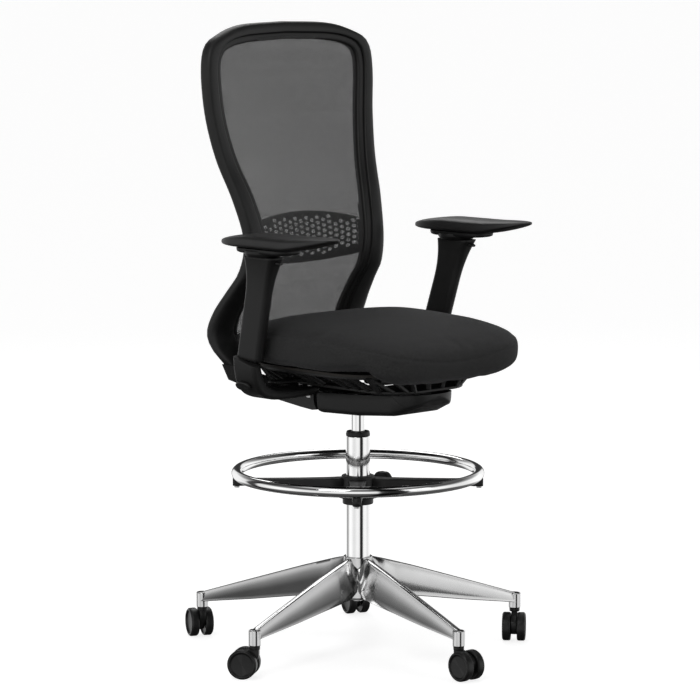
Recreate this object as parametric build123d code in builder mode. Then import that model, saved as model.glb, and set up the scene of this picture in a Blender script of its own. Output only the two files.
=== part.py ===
from build123d import *
import os
from math import cos, radians, sin, sqrt, tan

# Drafting chair.  Millimetres, +Z up, the sitter faces -Y and the sitter's left is +X.
# The origin is on the floor, on the axis of the column.

# ---------------------------------------------------------------- driving dimensions
clear = 0.3            # gap between bodies that pass each other
fit = 0.05             # radial gap of a running fit

# five-legged base
leg_count = 5
leg_first_angle = 45
leg_reach = 346
leg_wall = 4
hub_low, hub_high = 112, 196
hub_radius_low, hub_radius_high = 36, 30
boss_radius, boss_low, boss_high = 12.5, 66, 98

# castors
wheel_radius = 30
wheel_width = 17.5
fork_width = 13
trail = 22
stem_radius = 5.5
axle_radius = 3
trail_angles = [68, 64, 124, 268, 220]

# column and gas lift
column_radius, column_wall = 25, 2
column_low, column_high = 106, 448
collar_height = 10
gas_radius, gas_bore = 14, 11
rod_radius = 5
gas_low, gas_high = 118, 515
piston_low, piston_high = 345, 357

# foot ring
ring_radius, ring_tube_radius, ring_height = 250, 11, 371
spoke_top, spoke_low = 359.8, 342
liner_radius = 28
ring_hub_radius = 35
ring_hub_low, ring_hub_high = 306, 365
flange_radius, flange_low, flange_high = 44.5, 320, 327
clamp_height = 338
knob_radius, knob_near, knob_far = 28, 58, 84

# tilt mechanism
recline_y, recline_z = 15, 530
seat_pivot_y, seat_pivot_z = -150, 545
cover_half = 75
cover_wall = 3
housing_half = 48
housing_wall = 3
shaft_radius = 5
swing_gap_inner, swing_gap_outer = 40, 41.5

# seat
pan_half, pan_open_half = 120, 84
pan_low, pan_high = 562, 568
pan_front, pan_rear = -238, 150
deck_half, deck_low, deck_high = 200, 597, 604
deck_front = -240
cushion_half, cushion_front, cushion_rear = 246, -300, 168
cushion_corner = 150
strut_places = [-195, -158, -124, -72, -20, 96, 134]

# arms
arm_x, arm_y, arm_z = 264, 34.5, 655
lean_forward, lean_outward = 15, 4
post_depth, post_width = 66, 24
core_depth, core_width = 48, 11
sleeve_low, sleeve_high = 625, 838
plate_low, plate_high = 842.3, 855
pad_low, pad_high = 855.4, 884
pad_front, pad_rear = -220, 99

# back
frame_depth = 30
mesh_thickness = 1.6
rim = 10
panel_low, panel_high = 586, 648
lumbar_half = 168

os.makedirs("parts", exist_ok=True)


def keep(part, label):
    """Label a finished piece and write it."""
    part.label = label
    export_step(part, f"parts/{label}.step")


# ================================================================ base
# One leg along +X: a narrow ridge on top, walls that flare down, hollow below.
# Each station is (radius, ridge height, lower edge, half width on top, half width below).
leg_stations = [
    (18, 194, 116, 12, 40),
    (100, 175, 112, 8, 33),
    (220, 138, 96, 7, 24),
    (leg_reach, boss_high, 82, 7, 11.5),
]

with BuildPart() as leg:
    for radius, ridge, edge, top_half, low_half in leg_stations:
        with BuildSketch(Plane.YZ.offset(radius)):
            with BuildLine():
                Polyline((-low_half, edge), (low_half, edge), (top_half, ridge), (-top_half, ridge), close=True)
            make_face()
    loft(ruled=True)

with BuildPart() as leg_hollow:
    for radius, ridge, edge, top_half, low_half in leg_stations[:-1]:
        inner_low = low_half - leg_wall
        inner_top = top_half - leg_wall / 2
        with BuildSketch(Plane.YZ.offset(radius)):
            with BuildLine():
                Polyline((-inner_low, edge - 1), (inner_low, edge - 1), (inner_top, ridge - leg_wall),
                         (-inner_top, ridge - leg_wall), close=True)
            make_face()
    with BuildSketch(Plane.YZ.offset(leg_reach - boss_radius - leg_wall)):
        with BuildLine():
            Polyline((-9, 84), (9, 84), (4, 96), (-4, 96), close=True)
        make_face()
    loft(ruled=True)

with BuildPart() as base_casting:
    with PolarLocations(0, leg_count, start_angle=leg_first_angle):
        add(leg.part)
    with BuildSketch(Plane.XY.offset(hub_low)):
        Circle(hub_radius_low)
    with BuildSketch(Plane.XY.offset(hub_high)):
        Circle(hub_radius_high)
    loft()
    with PolarLocations(0, leg_count, start_angle=leg_first_angle):
        add(leg_hollow.part, mode=Mode.SUBTRACT)
    with BuildSketch(Plane.XY.offset(hub_low)):
        Circle(hub_radius_low)
    extrude(amount=hub_high - hub_low - leg_wall)
    with BuildSketch(Plane.XY.offset(boss_low)):
        with PolarLocations(leg_reach, leg_count, start_angle=leg_first_angle):
            Circle(boss_radius)
    extrude(amount=boss_high - boss_low)
    with BuildSketch(Plane.XY.offset(hub_low)):
        Circle(column_radius)
    extrude(amount=hub_high - hub_low, mode=Mode.SUBTRACT)
    with BuildSketch(Plane.XY.offset(boss_low)):
        with PolarLocations(leg_reach, leg_count, start_angle=leg_first_angle):
            Circle(stem_radius + fit)
    extrude(amount=26, mode=Mode.SUBTRACT)
keep(base_casting.part, "base_casting")

# ================================================================ column
with BuildPart() as column_tube:
    with BuildSketch(Plane.XY.offset(column_low)):
        Circle(column_radius)
    extrude(amount=column_high - column_low)
    with BuildSketch(Plane.XY.offset(column_low + 4)):
        Circle(column_radius - column_wall)
    extrude(amount=column_high - column_low - 4, mode=Mode.SUBTRACT)
    with BuildSketch(Plane.XY.offset(column_low)):
        Circle(rod_radius + 1)
    extrude(amount=4, mode=Mode.SUBTRACT)
keep(column_tube.part, "column_tube")

bushing_low = 300
with BuildPart() as column_bushing:
    with BuildSketch(Plane.XY.offset(bushing_low)):
        Circle(column_radius - column_wall - fit)
    extrude(amount=column_high - bushing_low)
    with BuildSketch(Plane.XY.offset(column_high)):
        Circle(column_radius)
    extrude(amount=collar_height, taper=8)
    with BuildSketch(Plane.XY.offset(bushing_low)):
        Circle(gas_radius + fit)
    extrude(amount=column_high + collar_height - bushing_low, mode=Mode.SUBTRACT)
keep(column_bushing.part, "column_bushing")

# A thrust washer inside the tube and the clip that holds the rod under its floor.
with BuildPart() as rod_bearing:
    for low, outer, thick in ((column_low + 4, 13, 5), (column_low - 4, 9, 3.8)):
        with BuildSketch(Plane.XY.offset(low)):
            Circle(outer)
            Circle(rod_radius + fit, mode=Mode.SUBTRACT)
        extrude(amount=thick)
keep(rod_bearing.part, "rod_bearing")

with BuildPart() as piston_rod:
    with BuildSketch(Plane.XY.offset(column_low - 5)):
        Circle(rod_radius)
    extrude(amount=piston_low - column_low + 5)
    with BuildSketch(Plane.XY.offset(piston_low)):
        Circle(gas_bore - fit)
    extrude(amount=piston_high - piston_low)
keep(piston_rod.part, "piston_rod")

gland_height = 18
pin_radius = 3
pin_low, pin_high = 506, 522
with BuildPart() as pressure_tube:
    with BuildSketch(Plane.XY.offset(gas_low)):
        Circle(gas_radius)
    extrude(amount=gas_high - gas_low)
    with BuildSketch(Plane.XY.offset(gas_low)):
        Circle(rod_radius + fit)
    extrude(amount=gland_height, mode=Mode.SUBTRACT)
    with BuildSketch(Plane.XY.offset(gas_low + gland_height)):
        Circle(gas_bore)
    extrude(amount=498 - gas_low - gland_height, mode=Mode.SUBTRACT)
    with BuildSketch(Plane.XY.offset(501)):
        Circle(pin_radius + fit)
    extrude(amount=gas_high - 501, mode=Mode.SUBTRACT)
keep(pressure_tube.part, "pressure_tube")

with BuildPart() as release_pin:
    with BuildSketch(Plane.XY.offset(pin_low)):
        Circle(pin_radius)
    extrude(amount=pin_high - pin_low)
keep(release_pin.part, "release_pin")

# ================================================================ castors
wheel_inner = fork_width / 2 + clear
castor_neck = 61
for number in range(leg_count):
    leg_angle = leg_first_angle + number * 360 / leg_count
    stem_place = (leg_reach * cos(radians(leg_angle)), leg_reach * sin(radians(leg_angle)), 0)
    trail_way = (cos(radians(trail_angles[number])), sin(radians(trail_angles[number])), 0)
    axle_way = (-trail_way[1], trail_way[0], 0)
    # Local x runs along the trail, local y up, and the plane's normal along the axle.
    side = Plane(origin=stem_place, x_dir=trail_way, z_dir=(trail_way[1], -trail_way[0], 0))

    with BuildPart() as fork:
        with BuildSketch(side.offset(-fork_width / 2)):
            with BuildLine():
                Polyline((-9, castor_neck), (9, castor_neck), (trail + 15, wheel_radius + 16),
                         (trail + 20, wheel_radius), (trail + 8, wheel_radius - 17),
                         (trail - 8, wheel_radius - 17), (-2, wheel_radius - 2), (-9, 46), close=True)
            make_face()
        extrude(amount=fork_width)
        with BuildSketch(Plane(origin=(stem_place[0], stem_place[1], castor_neck))):
            Circle(11)
        extrude(amount=boss_low - castor_neck - clear)
        with BuildSketch(Plane(origin=(stem_place[0], stem_place[1], 38))):
            Circle(stem_radius)
        extrude(amount=boss_low - 38, mode=Mode.SUBTRACT)
        with BuildSketch(side.offset(-fork_width / 2)):
            with Locations((trail, wheel_radius)):
                Circle(axle_radius)
        extrude(amount=fork_width, mode=Mode.SUBTRACT)
    keep(fork.part, f"castor_{number + 1}_fork")

    with BuildPart() as pins:
        with BuildSketch(Plane(origin=(stem_place[0], stem_place[1], 38))):
            Circle(stem_radius)
        extrude(amount=52)
        with BuildSketch(side.offset(-wheel_inner - wheel_width + 4)):
            with Locations((trail, wheel_radius)):
                Circle(axle_radius)
        extrude(amount=2 * (wheel_inner + wheel_width - 4))
    keep(pins.part, f"castor_{number + 1}_pins")

    for letter, near in (("a", wheel_inner), ("b", -wheel_inner - wheel_width)):
        blind = near if letter == "a" else near + 4
        with BuildPart() as wheel:
            with BuildSketch(side.offset(near)):
                with Locations((trail, wheel_radius)):
                    Circle(wheel_radius)
            extrude(amount=wheel_width)
            fillet(wheel.edges().filter_by(GeomType.CIRCLE), 3)
            with BuildSketch(side.offset(blind)):
                with Locations((trail, wheel_radius)):
                    Circle(axle_radius + fit)
            extrude(amount=wheel_width - 4 + fit, mode=Mode.SUBTRACT)
        keep(wheel.part, f"castor_{number + 1}_wheel_{letter}")

# ================================================================ foot ring
spoke_count = 4
spoke_first_angle = 45
with BuildPart() as footring_liner:
    with BuildSketch(Plane.XY.offset(ring_hub_low)):
        Circle(liner_radius)
        Circle(column_radius + fit, mode=Mode.SUBTRACT)
    extrude(amount=ring_hub_high - ring_hub_low)
keep(footring_liner.part, "footring_liner")

with BuildPart() as footring_tube:
    with BuildSketch(Plane.XZ):
        with Locations((ring_radius, ring_height)):
            Circle(ring_tube_radius)
            Circle(ring_tube_radius - 2, mode=Mode.SUBTRACT)
    revolve(axis=Axis.Z)
    with BuildSketch(Plane.XY.offset(ring_height - ring_tube_radius - 1)):
        with PolarLocations(ring_radius, spoke_count, start_angle=spoke_first_angle):
            Circle(3)
    extrude(amount=6, mode=Mode.SUBTRACT)
keep(footring_tube.part, "footring_tube")

with BuildSketch() as spoke:
    with BuildLine():
        Polyline((20, -20), (ring_radius + 9, -9), (ring_radius + 9, 9), (20, 20), close=True)
    make_face()
with BuildPart() as footring_spider:
    with BuildSketch(Plane.XY.offset(spoke_low)):
        with PolarLocations(0, spoke_count, start_angle=spoke_first_angle):
            add(spoke.sketch)
    extrude(amount=spoke_top - spoke_low)
    with BuildSketch(Plane.XY.offset(ring_hub_low)):
        Circle(ring_hub_radius)
    extrude(amount=ring_hub_high - ring_hub_low)
    with BuildSketch(Plane.XY.offset(flange_low)):
        Circle(flange_radius)
    extrude(amount=flange_high - flange_low)
    with BuildSketch(Plane.XY.offset(ring_hub_low)):
        Circle(liner_radius + fit)
    extrude(amount=ring_hub_high - ring_hub_low, mode=Mode.SUBTRACT)
    with BuildSketch(Plane.YZ.offset(liner_radius - 2)):
        with Locations((0, clamp_height)):
            Circle(5 + fit)
    extrude(amount=12, mode=Mode.SUBTRACT)
    with BuildSketch(Plane.XY.offset(spoke_low)):
        with PolarLocations(ring_radius, spoke_count, start_angle=spoke_first_angle):
            Circle(3)
    extrude(amount=spoke_top - spoke_low, mode=Mode.SUBTRACT)
keep(footring_spider.part, "footring_spider")

with BuildPart() as footring_screws:
    for low, radius, length in ((spoke_low, 3, ring_height - ring_tube_radius + 4 - spoke_low),
                                (spoke_low - 3, 5.5, 3)):
        with BuildSketch(Plane.XY.offset(low)):
            with PolarLocations(ring_radius, spoke_count, start_angle=spoke_first_angle):
                Circle(radius)
        extrude(amount=length)
keep(footring_screws.part, "footring_screws")

pad_face, pad_back = liner_radius + 2 * fit, 34
with BuildPart() as clamp_pad:
    with BuildSketch(Plane.YZ.offset(pad_face)):
        with Locations((0, clamp_height)):
            Circle(5)
    extrude(amount=pad_back - pad_face)
keep(clamp_pad.part, "clamp_pad")

with BuildPart() as clamp_knob:
    with BuildSketch(Plane.YZ.offset(pad_back + 2 * fit)):
        with Locations((0, clamp_height)):
            Circle(4)
    extrude(amount=knob_near - pad_back)
    with BuildSketch(Plane.YZ.offset(knob_near)):
        with Locations((0, clamp_height)):
            Circle(knob_radius)
            with PolarLocations(knob_radius + 7, 8):
                Circle(11, mode=Mode.SUBTRACT)
    extrude(amount=knob_far - knob_near)
keep(clamp_knob.part, "clamp_knob")

# ================================================================ tilt mechanism
# Side outlines are drawn on the YZ plane and pulled out both ways along X.


def slab(outline, half):
    """A closed side outline pulled out to +half and -half along X."""
    with BuildPart() as body:
        with BuildSketch(Plane.YZ):
            with BuildLine():
                Polyline(*outline, close=True)
            make_face()
        extrude(amount=half, both=True)
    return body.part


cover_outline = [(45, 541), (45, 497), (-60, 501), (-168, 511), (-210, 526), (-171, 554), (-60, 546)]
cover_inside = [(60, 580), (60, 500), (-60, 504), (-167, 514), (-230, 536), (-230, 580)]
with BuildPart() as mechanism_cover:
    add(slab(cover_outline, cover_half))
    fillet(mechanism_cover.edges().filter_by(Axis.Y, tolerance=20).group_by(Axis.Z)[0], 6)
    add(slab(cover_inside, cover_half - cover_wall), mode=Mode.SUBTRACT)
    with BuildSketch(Plane.XY.offset(480)):
        Circle(gas_radius + 1)
    extrude(amount=40, mode=Mode.SUBTRACT)
    # The rear end is cut on an arc about the recline pivot, where the carrier swings past it.
    with BuildSketch(Plane.YZ.offset(-cover_half)):
        with Locations((recline_y, recline_z)):
            Rectangle(120, 120, align=(Align.MIN, Align.CENTER))
            Circle(swing_gap_inner, mode=Mode.SUBTRACT)
    extrude(amount=2 * cover_half, mode=Mode.SUBTRACT)
keep(mechanism_cover.part, "mechanism_cover")

nose_reach = -242
with BuildPart() as mechanism_nose:
    with BuildSketch(Plane.XY.offset(500)):
        with BuildLine():
            Polyline((-cover_half, -165), (cover_half, -165), (cover_half, -200))
            ThreePointArc((cover_half, -200), (0, nose_reach), (-cover_half, -200))
            Line((-cover_half, -200), (-cover_half, -165))
        make_face()
    extrude(amount=70)
    add(slab([(-171.6, 554), (-210.6, 526.2), (-221, 532), (nose_reach, 555), (nose_reach, 560)],
             cover_half + 5), mode=Mode.INTERSECT)
keep(mechanism_nose.part, "mechanism_nose")

# A pressed pan that holds the gas lift's socket, both pivot shafts and the springs.
pan_outline = [(35, 506), (-60, 508), (-164, 517), (-164, 553), (-130, 553), (-60, 541), (35, 541)]
pan_inside = [(60, 509), (-60, 511), (-161, 520), (-161, 580), (60, 580)]
with BuildPart() as mechanism_housing:
    add(slab(pan_outline, housing_half))
    add(slab(pan_inside, housing_half - housing_wall), mode=Mode.SUBTRACT)
    with BuildSketch(Plane.XY.offset(506)):
        Circle(gas_radius + 8)
    extrude(amount=16)
    with BuildSketch(Plane.XY.offset(500)):
        Circle(gas_radius)
    extrude(amount=22, mode=Mode.SUBTRACT)
    with BuildSketch(Plane.YZ.offset(-housing_half)):
        with Locations((recline_y, recline_z)):
            Circle(shaft_radius)
        with Locations((seat_pivot_y, seat_pivot_z)):
            Circle(shaft_radius - 1)
    extrude(amount=2 * housing_half, mode=Mode.SUBTRACT)
keep(mechanism_housing.part, "mechanism_housing")

with BuildPart() as pivot_shafts:
    for y, z, radius, half in ((recline_y, recline_z, shaft_radius, 69),
                               (seat_pivot_y, seat_pivot_z, shaft_radius - 1, housing_half + 3)):
        with BuildSketch(Plane.YZ.offset(-half)):
            with Locations((y, z)):
                Circle(radius)
        extrude(amount=2 * half)
keep(pivot_shafts.part, "pivot_shafts")

spring_radius, spring_wire, spring_pitch, spring_length = 9, 1.6, 7, 63
spring_rear, spring_height = -48, 527.5
with BuildPart() as tilt_springs:
    for x in (-28, 28):
        with BuildLine() as coil:
            Helix(spring_pitch, spring_length, spring_radius, center=(x, spring_rear, spring_height), direction=(0, -1, 0))
        with BuildSketch(Plane(origin=coil.wires()[0] @ 0, z_dir=coil.wires()[0] % 0)):
            Circle(spring_wire)
        sweep(path=coil.wires()[0], is_frenet=True)
keep(tilt_springs.part, "tilt_springs")

# ================================================================ seat
deck_depth = pan_rear - deck_front
deck_middle = (pan_rear + deck_front) / 2
tray_depth = pan_rear - pan_front
tray_middle = (pan_rear + pan_front) / 2
lever_x, lever_z = 118, 574
lever_near, lever_far = 28, 58
with BuildPart() as seat_pan:
    with BuildSketch(Plane.XY.offset(pan_low)):
        with Locations((0, tray_middle)):
            RectangleRounded(2 * pan_half, tray_depth, 45)
        with Locations((0, (-132 + 124) / 2)):
            Rectangle(2 * pan_open_half, 132 + 124, mode=Mode.SUBTRACT)
    extrude(amount=pan_high - pan_low)
    with BuildSketch(Plane.XY.offset(deck_low)):
        with Locations((0, deck_middle)):
            RectangleRounded(2 * deck_half, deck_depth, 100)
            RectangleRounded(2 * deck_half - 64, deck_depth - 64, 68, mode=Mode.SUBTRACT)
    extrude(amount=deck_high - deck_low)
    for hand in (-1, 1):
        for y in strut_places:
            reach = deck_half - (14 if abs(y - deck_middle) < 130 else 34)
            with BuildSketch(Plane.XZ.offset(-y - 4)):
                with BuildLine():
                    Polyline((hand * (pan_half - 14), pan_low), (hand * pan_half, pan_low),
                             (hand * reach, deck_low), (hand * reach, deck_high),
                             (hand * (reach - 20), deck_high), (hand * (pan_half - 14), pan_high), close=True)
                make_face()
            extrude(amount=8)
    # Struts under the front edge.
    for x in (-84, -42, 0, 42, 84):
        with BuildSketch(Plane.YZ.offset(x - 4)):
            with BuildLine():
                Polyline((pan_front + 16, pan_low), (pan_front + 2, pan_low), (deck_front + 2, deck_low),
                         (deck_front + 2, deck_high), (deck_front + 26, deck_high),
                         (pan_front + 16, pan_high), close=True)
            make_face()
        extrude(amount=8)
    # Lugs that hang on the front pivot shaft.
    for x in (-38, 30):
        with BuildSketch(Plane.YZ.offset(x)):
            with Locations((seat_pivot_y, seat_pivot_z)):
                Circle(10)
                Rectangle(20, pan_low + 2 - seat_pivot_z, align=(Align.CENTER, Align.MIN))
                Circle(shaft_radius - 1 + fit, mode=Mode.SUBTRACT)
        extrude(amount=8)
    # Lugs that carry the two levers' pins.
    for x in (-lever_x, lever_x):
        for y in (lever_near - 8, lever_far + 2):
            with BuildSketch(Plane.XZ.offset(-y - 6)):
                with Locations((x, lever_z)):
                    Rectangle(14, lever_z - pan_high, align=(Align.CENTER, Align.MAX))
                    Circle(7)
                    Circle(2.5 + fit, mode=Mode.SUBTRACT)
            extrude(amount=6)
    # Holes for the bolts of the arm brackets.
    with BuildSketch(Plane.XY.offset(pan_low)):
        with Locations(*[(hand * x, y) for hand in (-1, 1) for x, y in ((104, 36), (104, 62))]):
            Circle(4)
    extrude(amount=pan_high - pan_low, mode=Mode.SUBTRACT)
keep(seat_pan.part, "seat_pan")

for label, hand in (("height_lever", -1), ("tilt_lever", 1)):
    with BuildPart() as lever:
        with BuildSketch(Plane.XY.offset(lever_z - 5)):
            with BuildLine():
                Polyline((hand * lever_x, lever_near), (hand * 178, lever_near), (hand * 203, lever_near + 6),
                         (hand * 206, lever_far - 6), (hand * 200, lever_far), (hand * lever_x, lever_far),
                         close=True)
            make_face()
        extrude(amount=9)
        with BuildSketch(Plane.XZ.offset(-lever_far)):
            with Locations((hand * lever_x, lever_z)):
                Circle(5)
        extrude(amount=lever_far - lever_near)
        with BuildSketch(Plane.XZ.offset(-lever_far - 8)):
            with Locations((hand * lever_x, lever_z)):
                Circle(2.5)
        extrude(amount=lever_far - lever_near + 16)
        fillet(lever.edges().filter_by(Axis.Z).group_by(Axis.X)[0 if hand < 0 else -1], 3)
    keep(lever.part, label)

with BuildPart() as cushion_board:
    with BuildSketch(Plane.XY.offset(deck_high)):
        with Locations((0, deck_middle)):
            RectangleRounded(2 * deck_half + 10, deck_depth, 105)
    extrude(amount=5)
keep(cushion_board.part, "cushion_board")

cushion_depth = cushion_rear - cushion_front
with BuildPart() as seat_cushion:
    with BuildSketch(Plane.YZ.offset(-cushion_half)):
        with BuildLine():
            top = Spline((cushion_rear, 640), (140, 680), (60, 700), (-60, 699), (-180, 684), (-270, 660),
                         (cushion_front, 628))
            Polyline(top @ 1, (-292, 600), (-272, 588), (-243, 592), (-242, deck_high + 5.4),
                     (cushion_rear - 10, deck_high + 5.4), top @ 0)
        make_face()
    extrude(amount=2 * cushion_half)
    with BuildSketch(Plane.XY.offset(580)):
        with Locations((0, (cushion_rear + cushion_front) / 2)):
            RectangleRounded(2 * cushion_half, cushion_depth, cushion_corner)
    extrude(amount=130, mode=Mode.INTERSECT)
keep(seat_cushion.part, "seat_cushion")

# ================================================================ arms
knee_x = arm_x - 6
for side_name, hand in (("left", 1), ("right", -1)):
    lean = (hand * tan(radians(lean_outward)), -tan(radians(lean_forward)), 1)

    plate_x = hand * arm_x + lean[0] * (sleeve_high - arm_z)
    plate_y = arm_y + lean[1] * (sleeve_high - arm_z)

    def level(height, lean=lean, hand=hand):
        """The level plane whose origin is on the post's axis."""
        rise_up = height - arm_z
        return Plane(origin=(hand * arm_x + lean[0] * rise_up, arm_y + lean[1] * rise_up, height))

    with BuildPart() as arm_bracket:
        with BuildSketch(Plane.XZ.offset(-78)):
            with BuildLine():
                Polyline((hand * 86, 541), (hand * knee_x, 551), (hand * (arm_x + 9), 606),
                         (hand * (arm_x - 15), 606), (hand * (knee_x - 16), 566),
                         (hand * 140, 561.5), (hand * 86, 561.5), close=True)
            make_face()
        extrude(amount=60)
        corner_edges = arm_bracket.edges().filter_by(Axis.Y)
        fillet(corner_edges.sort_by_distance((hand * knee_x, 48, 551))[0], 26)
        fillet(arm_bracket.edges().filter_by(Axis.Y).sort_by_distance((hand * (knee_x - 16), 48, 566))[0], 14)
        with BuildSketch(level(582)):
            RectangleRounded(post_width, post_depth, 9)
        with BuildSketch(level(sleeve_low - clear)):
            RectangleRounded(post_width, post_depth, 9)
        loft()
        with BuildSketch(level(600)):
            Rectangle(core_width, core_depth)
        with BuildSketch(level(795)):
            Rectangle(core_width, core_depth)
        loft()
        with BuildSketch(Plane.XY.offset(530)):
            with Locations((hand * 104, 36), (hand * 104, 62)):
                Circle(4)
        extrude(amount=40, mode=Mode.SUBTRACT)
    keep(arm_bracket.part, f"arm_bracket_{side_name}")

    with BuildPart() as arm_sleeve:
        with BuildSketch(level(sleeve_low)):
            RectangleRounded(post_width + 2, post_depth, 10)
        with BuildSketch(level(790)):
            RectangleRounded(post_width, post_depth - 4, 10)
        loft()
        with BuildSketch(level(790)):
            RectangleRounded(post_width, post_depth - 4, 10)
        with BuildSketch(level(sleeve_high)):
            RectangleRounded(post_width + 16, post_depth + 22, 14)
        loft()
        with BuildSketch(level(sleeve_low)):
            Rectangle(core_width + 2 * clear, core_depth + 2 * clear)
        with BuildSketch(level(806)):
            Rectangle(core_width + 2 * clear, core_depth + 2 * clear)
        loft(mode=Mode.SUBTRACT)
        with BuildSketch(Plane(origin=(plate_x, plate_y, sleeve_high - 12))):
            Circle(10 + fit)
        extrude(amount=20, mode=Mode.SUBTRACT)
        with BuildSketch(level(sleeve_high - 17)):
            with Locations((0, -30)):
                Rectangle(13.2, 40)
        extrude(amount=12, mode=Mode.SUBTRACT)
    keep(arm_sleeve.part, f"arm_sleeve_{side_name}")

    with BuildPart() as arm_trigger:
        with BuildSketch(level(sleeve_high - 16)):
            with Locations((0, -34)):
                RectangleRounded(12, 26, 4)
        extrude(amount=7)
    keep(arm_trigger.part, f"arm_trigger_{side_name}")

    with BuildPart() as arm_plate:
        with BuildSketch(Plane(origin=(plate_x, plate_y, plate_low - 4))):
            Circle(40)
        extrude(amount=plate_high - plate_low + 4 - 3)
        with BuildSketch(Plane(origin=(plate_x, plate_y, sleeve_high - 11))):
            Circle(10)
        extrude(amount=12)
        with BuildSketch(Plane(origin=(plate_x, plate_y, plate_high - 3))):
            RectangleRounded(58, 120, 20)
        extrude(amount=3)
        with BuildSketch(Plane(origin=(plate_x, plate_y, plate_high))):
            Rectangle(24, 90)
        extrude(amount=4)
    keep(arm_plate.part, f"arm_plate_{side_name}")

    with BuildPart() as arm_pad:
        with BuildSketch(Plane(origin=(plate_x, 0, pad_low))):
            with BuildLine():
                Spline((0, pad_front), (36, pad_front + 30), (47, -90), (44, 14), (20, 82), (0, pad_rear),
                       (-20, 82), (-44, 14), (-47, -90), (-36, pad_front + 30), periodic=True)
            make_face()
        extrude(amount=pad_high - pad_low)
        chamfer(arm_pad.edges().group_by(Axis.Z)[0], 8)
        with BuildSketch(Plane(origin=(plate_x, plate_y, pad_low))):
            Rectangle(24 + 2 * clear, 132)
        extrude(amount=4 + clear, mode=Mode.SUBTRACT)
    keep(arm_pad.part, f"arm_pad_{side_name}")

with BuildPart() as arm_bolts:
    with BuildSketch(Plane.XY.offset(538)):
        with Locations(*[(hand * x, y) for hand in (-1, 1) for x, y in ((104, 36), (104, 62))]):
            Circle(4)
    extrude(amount=pan_high + 1 - 538)
    with BuildSketch(Plane.XY.offset(534)):
        with Locations(*[(hand * x, y) for hand in (-1, 1) for x, y in ((104, 36), (104, 62))]):
            RegularPolygon(6.5, 6)
    extrude(amount=5)
keep(arm_bolts.part, "arm_bolts")

# ================================================================ back
# The line of the frame's front face from the side, as (y, z) points.
face_line = [(166, 596), (200, 650), (184, 700), (150, 750), (122, 790), (112, 850), (132, 930), (165, 1015),
             (184, 1100), (190, 1180), (193, 1240), (198, 1300)]
outer_line = [(200, 596), (214, 625), (217, 690), (201, 770), (193, 850), (205, 940), (220, 1020),
              (231, 1100), (237, 1190), (226, 1246), (187, 1271), (120, 1289), (0, 1294)]
mesh_line = [(149, panel_high), (151, 690), (146, 770), (147, 850), (160, 940), (178, 1015),
             (193, 1100), (200, 1180), (197, 1220), (178, 1243), (120, 1257), (0, 1262)]
# How far the middle of the mesh hangs behind its edges, at each height of the face line.
mesh_hollow = [4, 6, 20, 30, 24, 16, 24, 34, 32, 22, 8, 8]
mesh_setback = 14


def mirrored(points):
    """The points of a right-hand line and its mirror image, in order."""
    return points + [(-x, z) for x, z in reversed(points[:-1])]


def band(ahead, behind, half=260):
    """What lies between the face line moved back by ahead and by behind."""
    with BuildPart() as body:
        with BuildSketch(Plane.YZ):
            with BuildLine():
                front = Spline(*[(y + ahead, z) for y, z in face_line])
                back = Spline(*[(y + behind, z) for y, z in face_line])
                Line(front @ 0, back @ 0)
                Line(front @ 1, back @ 1)
            make_face()
        extrude(amount=half, both=True)
    return body.part


def widened(points, amount):
    """A right-hand line moved outwards, square to itself."""
    moved = []
    for place, (x, z) in enumerate(points):
        before = points[max(place - 1, 0)]
        after = points[min(place + 1, len(points) - 1)]
        run, climb = after[0] - before[0], after[1] - before[1]
        length = sqrt(run**2 + climb**2)
        moved.append((x + amount * climb / length, z - amount * run / length))
    moved[0] = (moved[0][0], points[0][1] - amount)
    moved[-1] = (0, points[-1][1] + amount)
    return moved


view = Plane.XZ.offset(-300)
view_depth = 300
with BuildSketch(view) as mesh_view:
    with BuildLine():
        mesh_edge = Spline(*mirrored(mesh_line))
        Line(mesh_edge @ 0, mesh_edge @ 1)
    make_face()
with BuildSketch(view) as opening_view:
    with BuildLine():
        opening_edge = Spline(*mirrored(widened(mesh_line, rim)))
        Line(opening_edge @ 0, opening_edge @ 1)
    make_face()

with BuildPart() as back_frame:
    with BuildSketch(view):
        with BuildLine():
            outer = Spline(*mirrored(outer_line))
            Line(outer @ 0, outer @ 1)
        make_face()
        add(opening_view.sketch, mode=Mode.SUBTRACT)
    extrude(amount=view_depth)
    add(band(0, frame_depth), mode=Mode.INTERSECT)
    # The panel below the mesh stands back from the two uprights.
    with BuildSketch(Plane.XY.offset(590)):
        Rectangle(276, 600)
    shelf = extrude(amount=panel_high - 590, mode=Mode.PRIVATE)
    add(shelf & band(-1, frame_depth - 12), mode=Mode.SUBTRACT)
keep(back_frame.part, "back_frame")

with BuildPart() as mesh_ring:
    with BuildSketch(view):
        add(opening_view.sketch)
        add(mesh_view.sketch, mode=Mode.SUBTRACT)
    extrude(amount=view_depth)
    add(band(mesh_setback - 6, frame_depth - 4), mode=Mode.INTERSECT)
keep(mesh_ring.part, "mesh_ring")

mesh_span = 215
with BuildPart() as back_mesh:
    for (y, z), hollow in zip(face_line, mesh_hollow):
        edge_y = y + mesh_setback
        with BuildSketch(Plane.XY.offset(z)):
            with BuildLine():
                ThreePointArc((-mesh_span, edge_y), (0, edge_y + hollow), (mesh_span, edge_y))
                Line((mesh_span, edge_y), (mesh_span, edge_y + mesh_thickness))
                ThreePointArc((mesh_span, edge_y + mesh_thickness), (0, edge_y + hollow + mesh_thickness),
                              (-mesh_span, edge_y + mesh_thickness))
                Line((-mesh_span, edge_y + mesh_thickness), (-mesh_span, edge_y))
            make_face()
    loft()
    with BuildSketch(view):
        add(mesh_view.sketch)
    extrude(amount=view_depth, mode=Mode.INTERSECT)
keep(back_mesh.part, "back_mesh")

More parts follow.
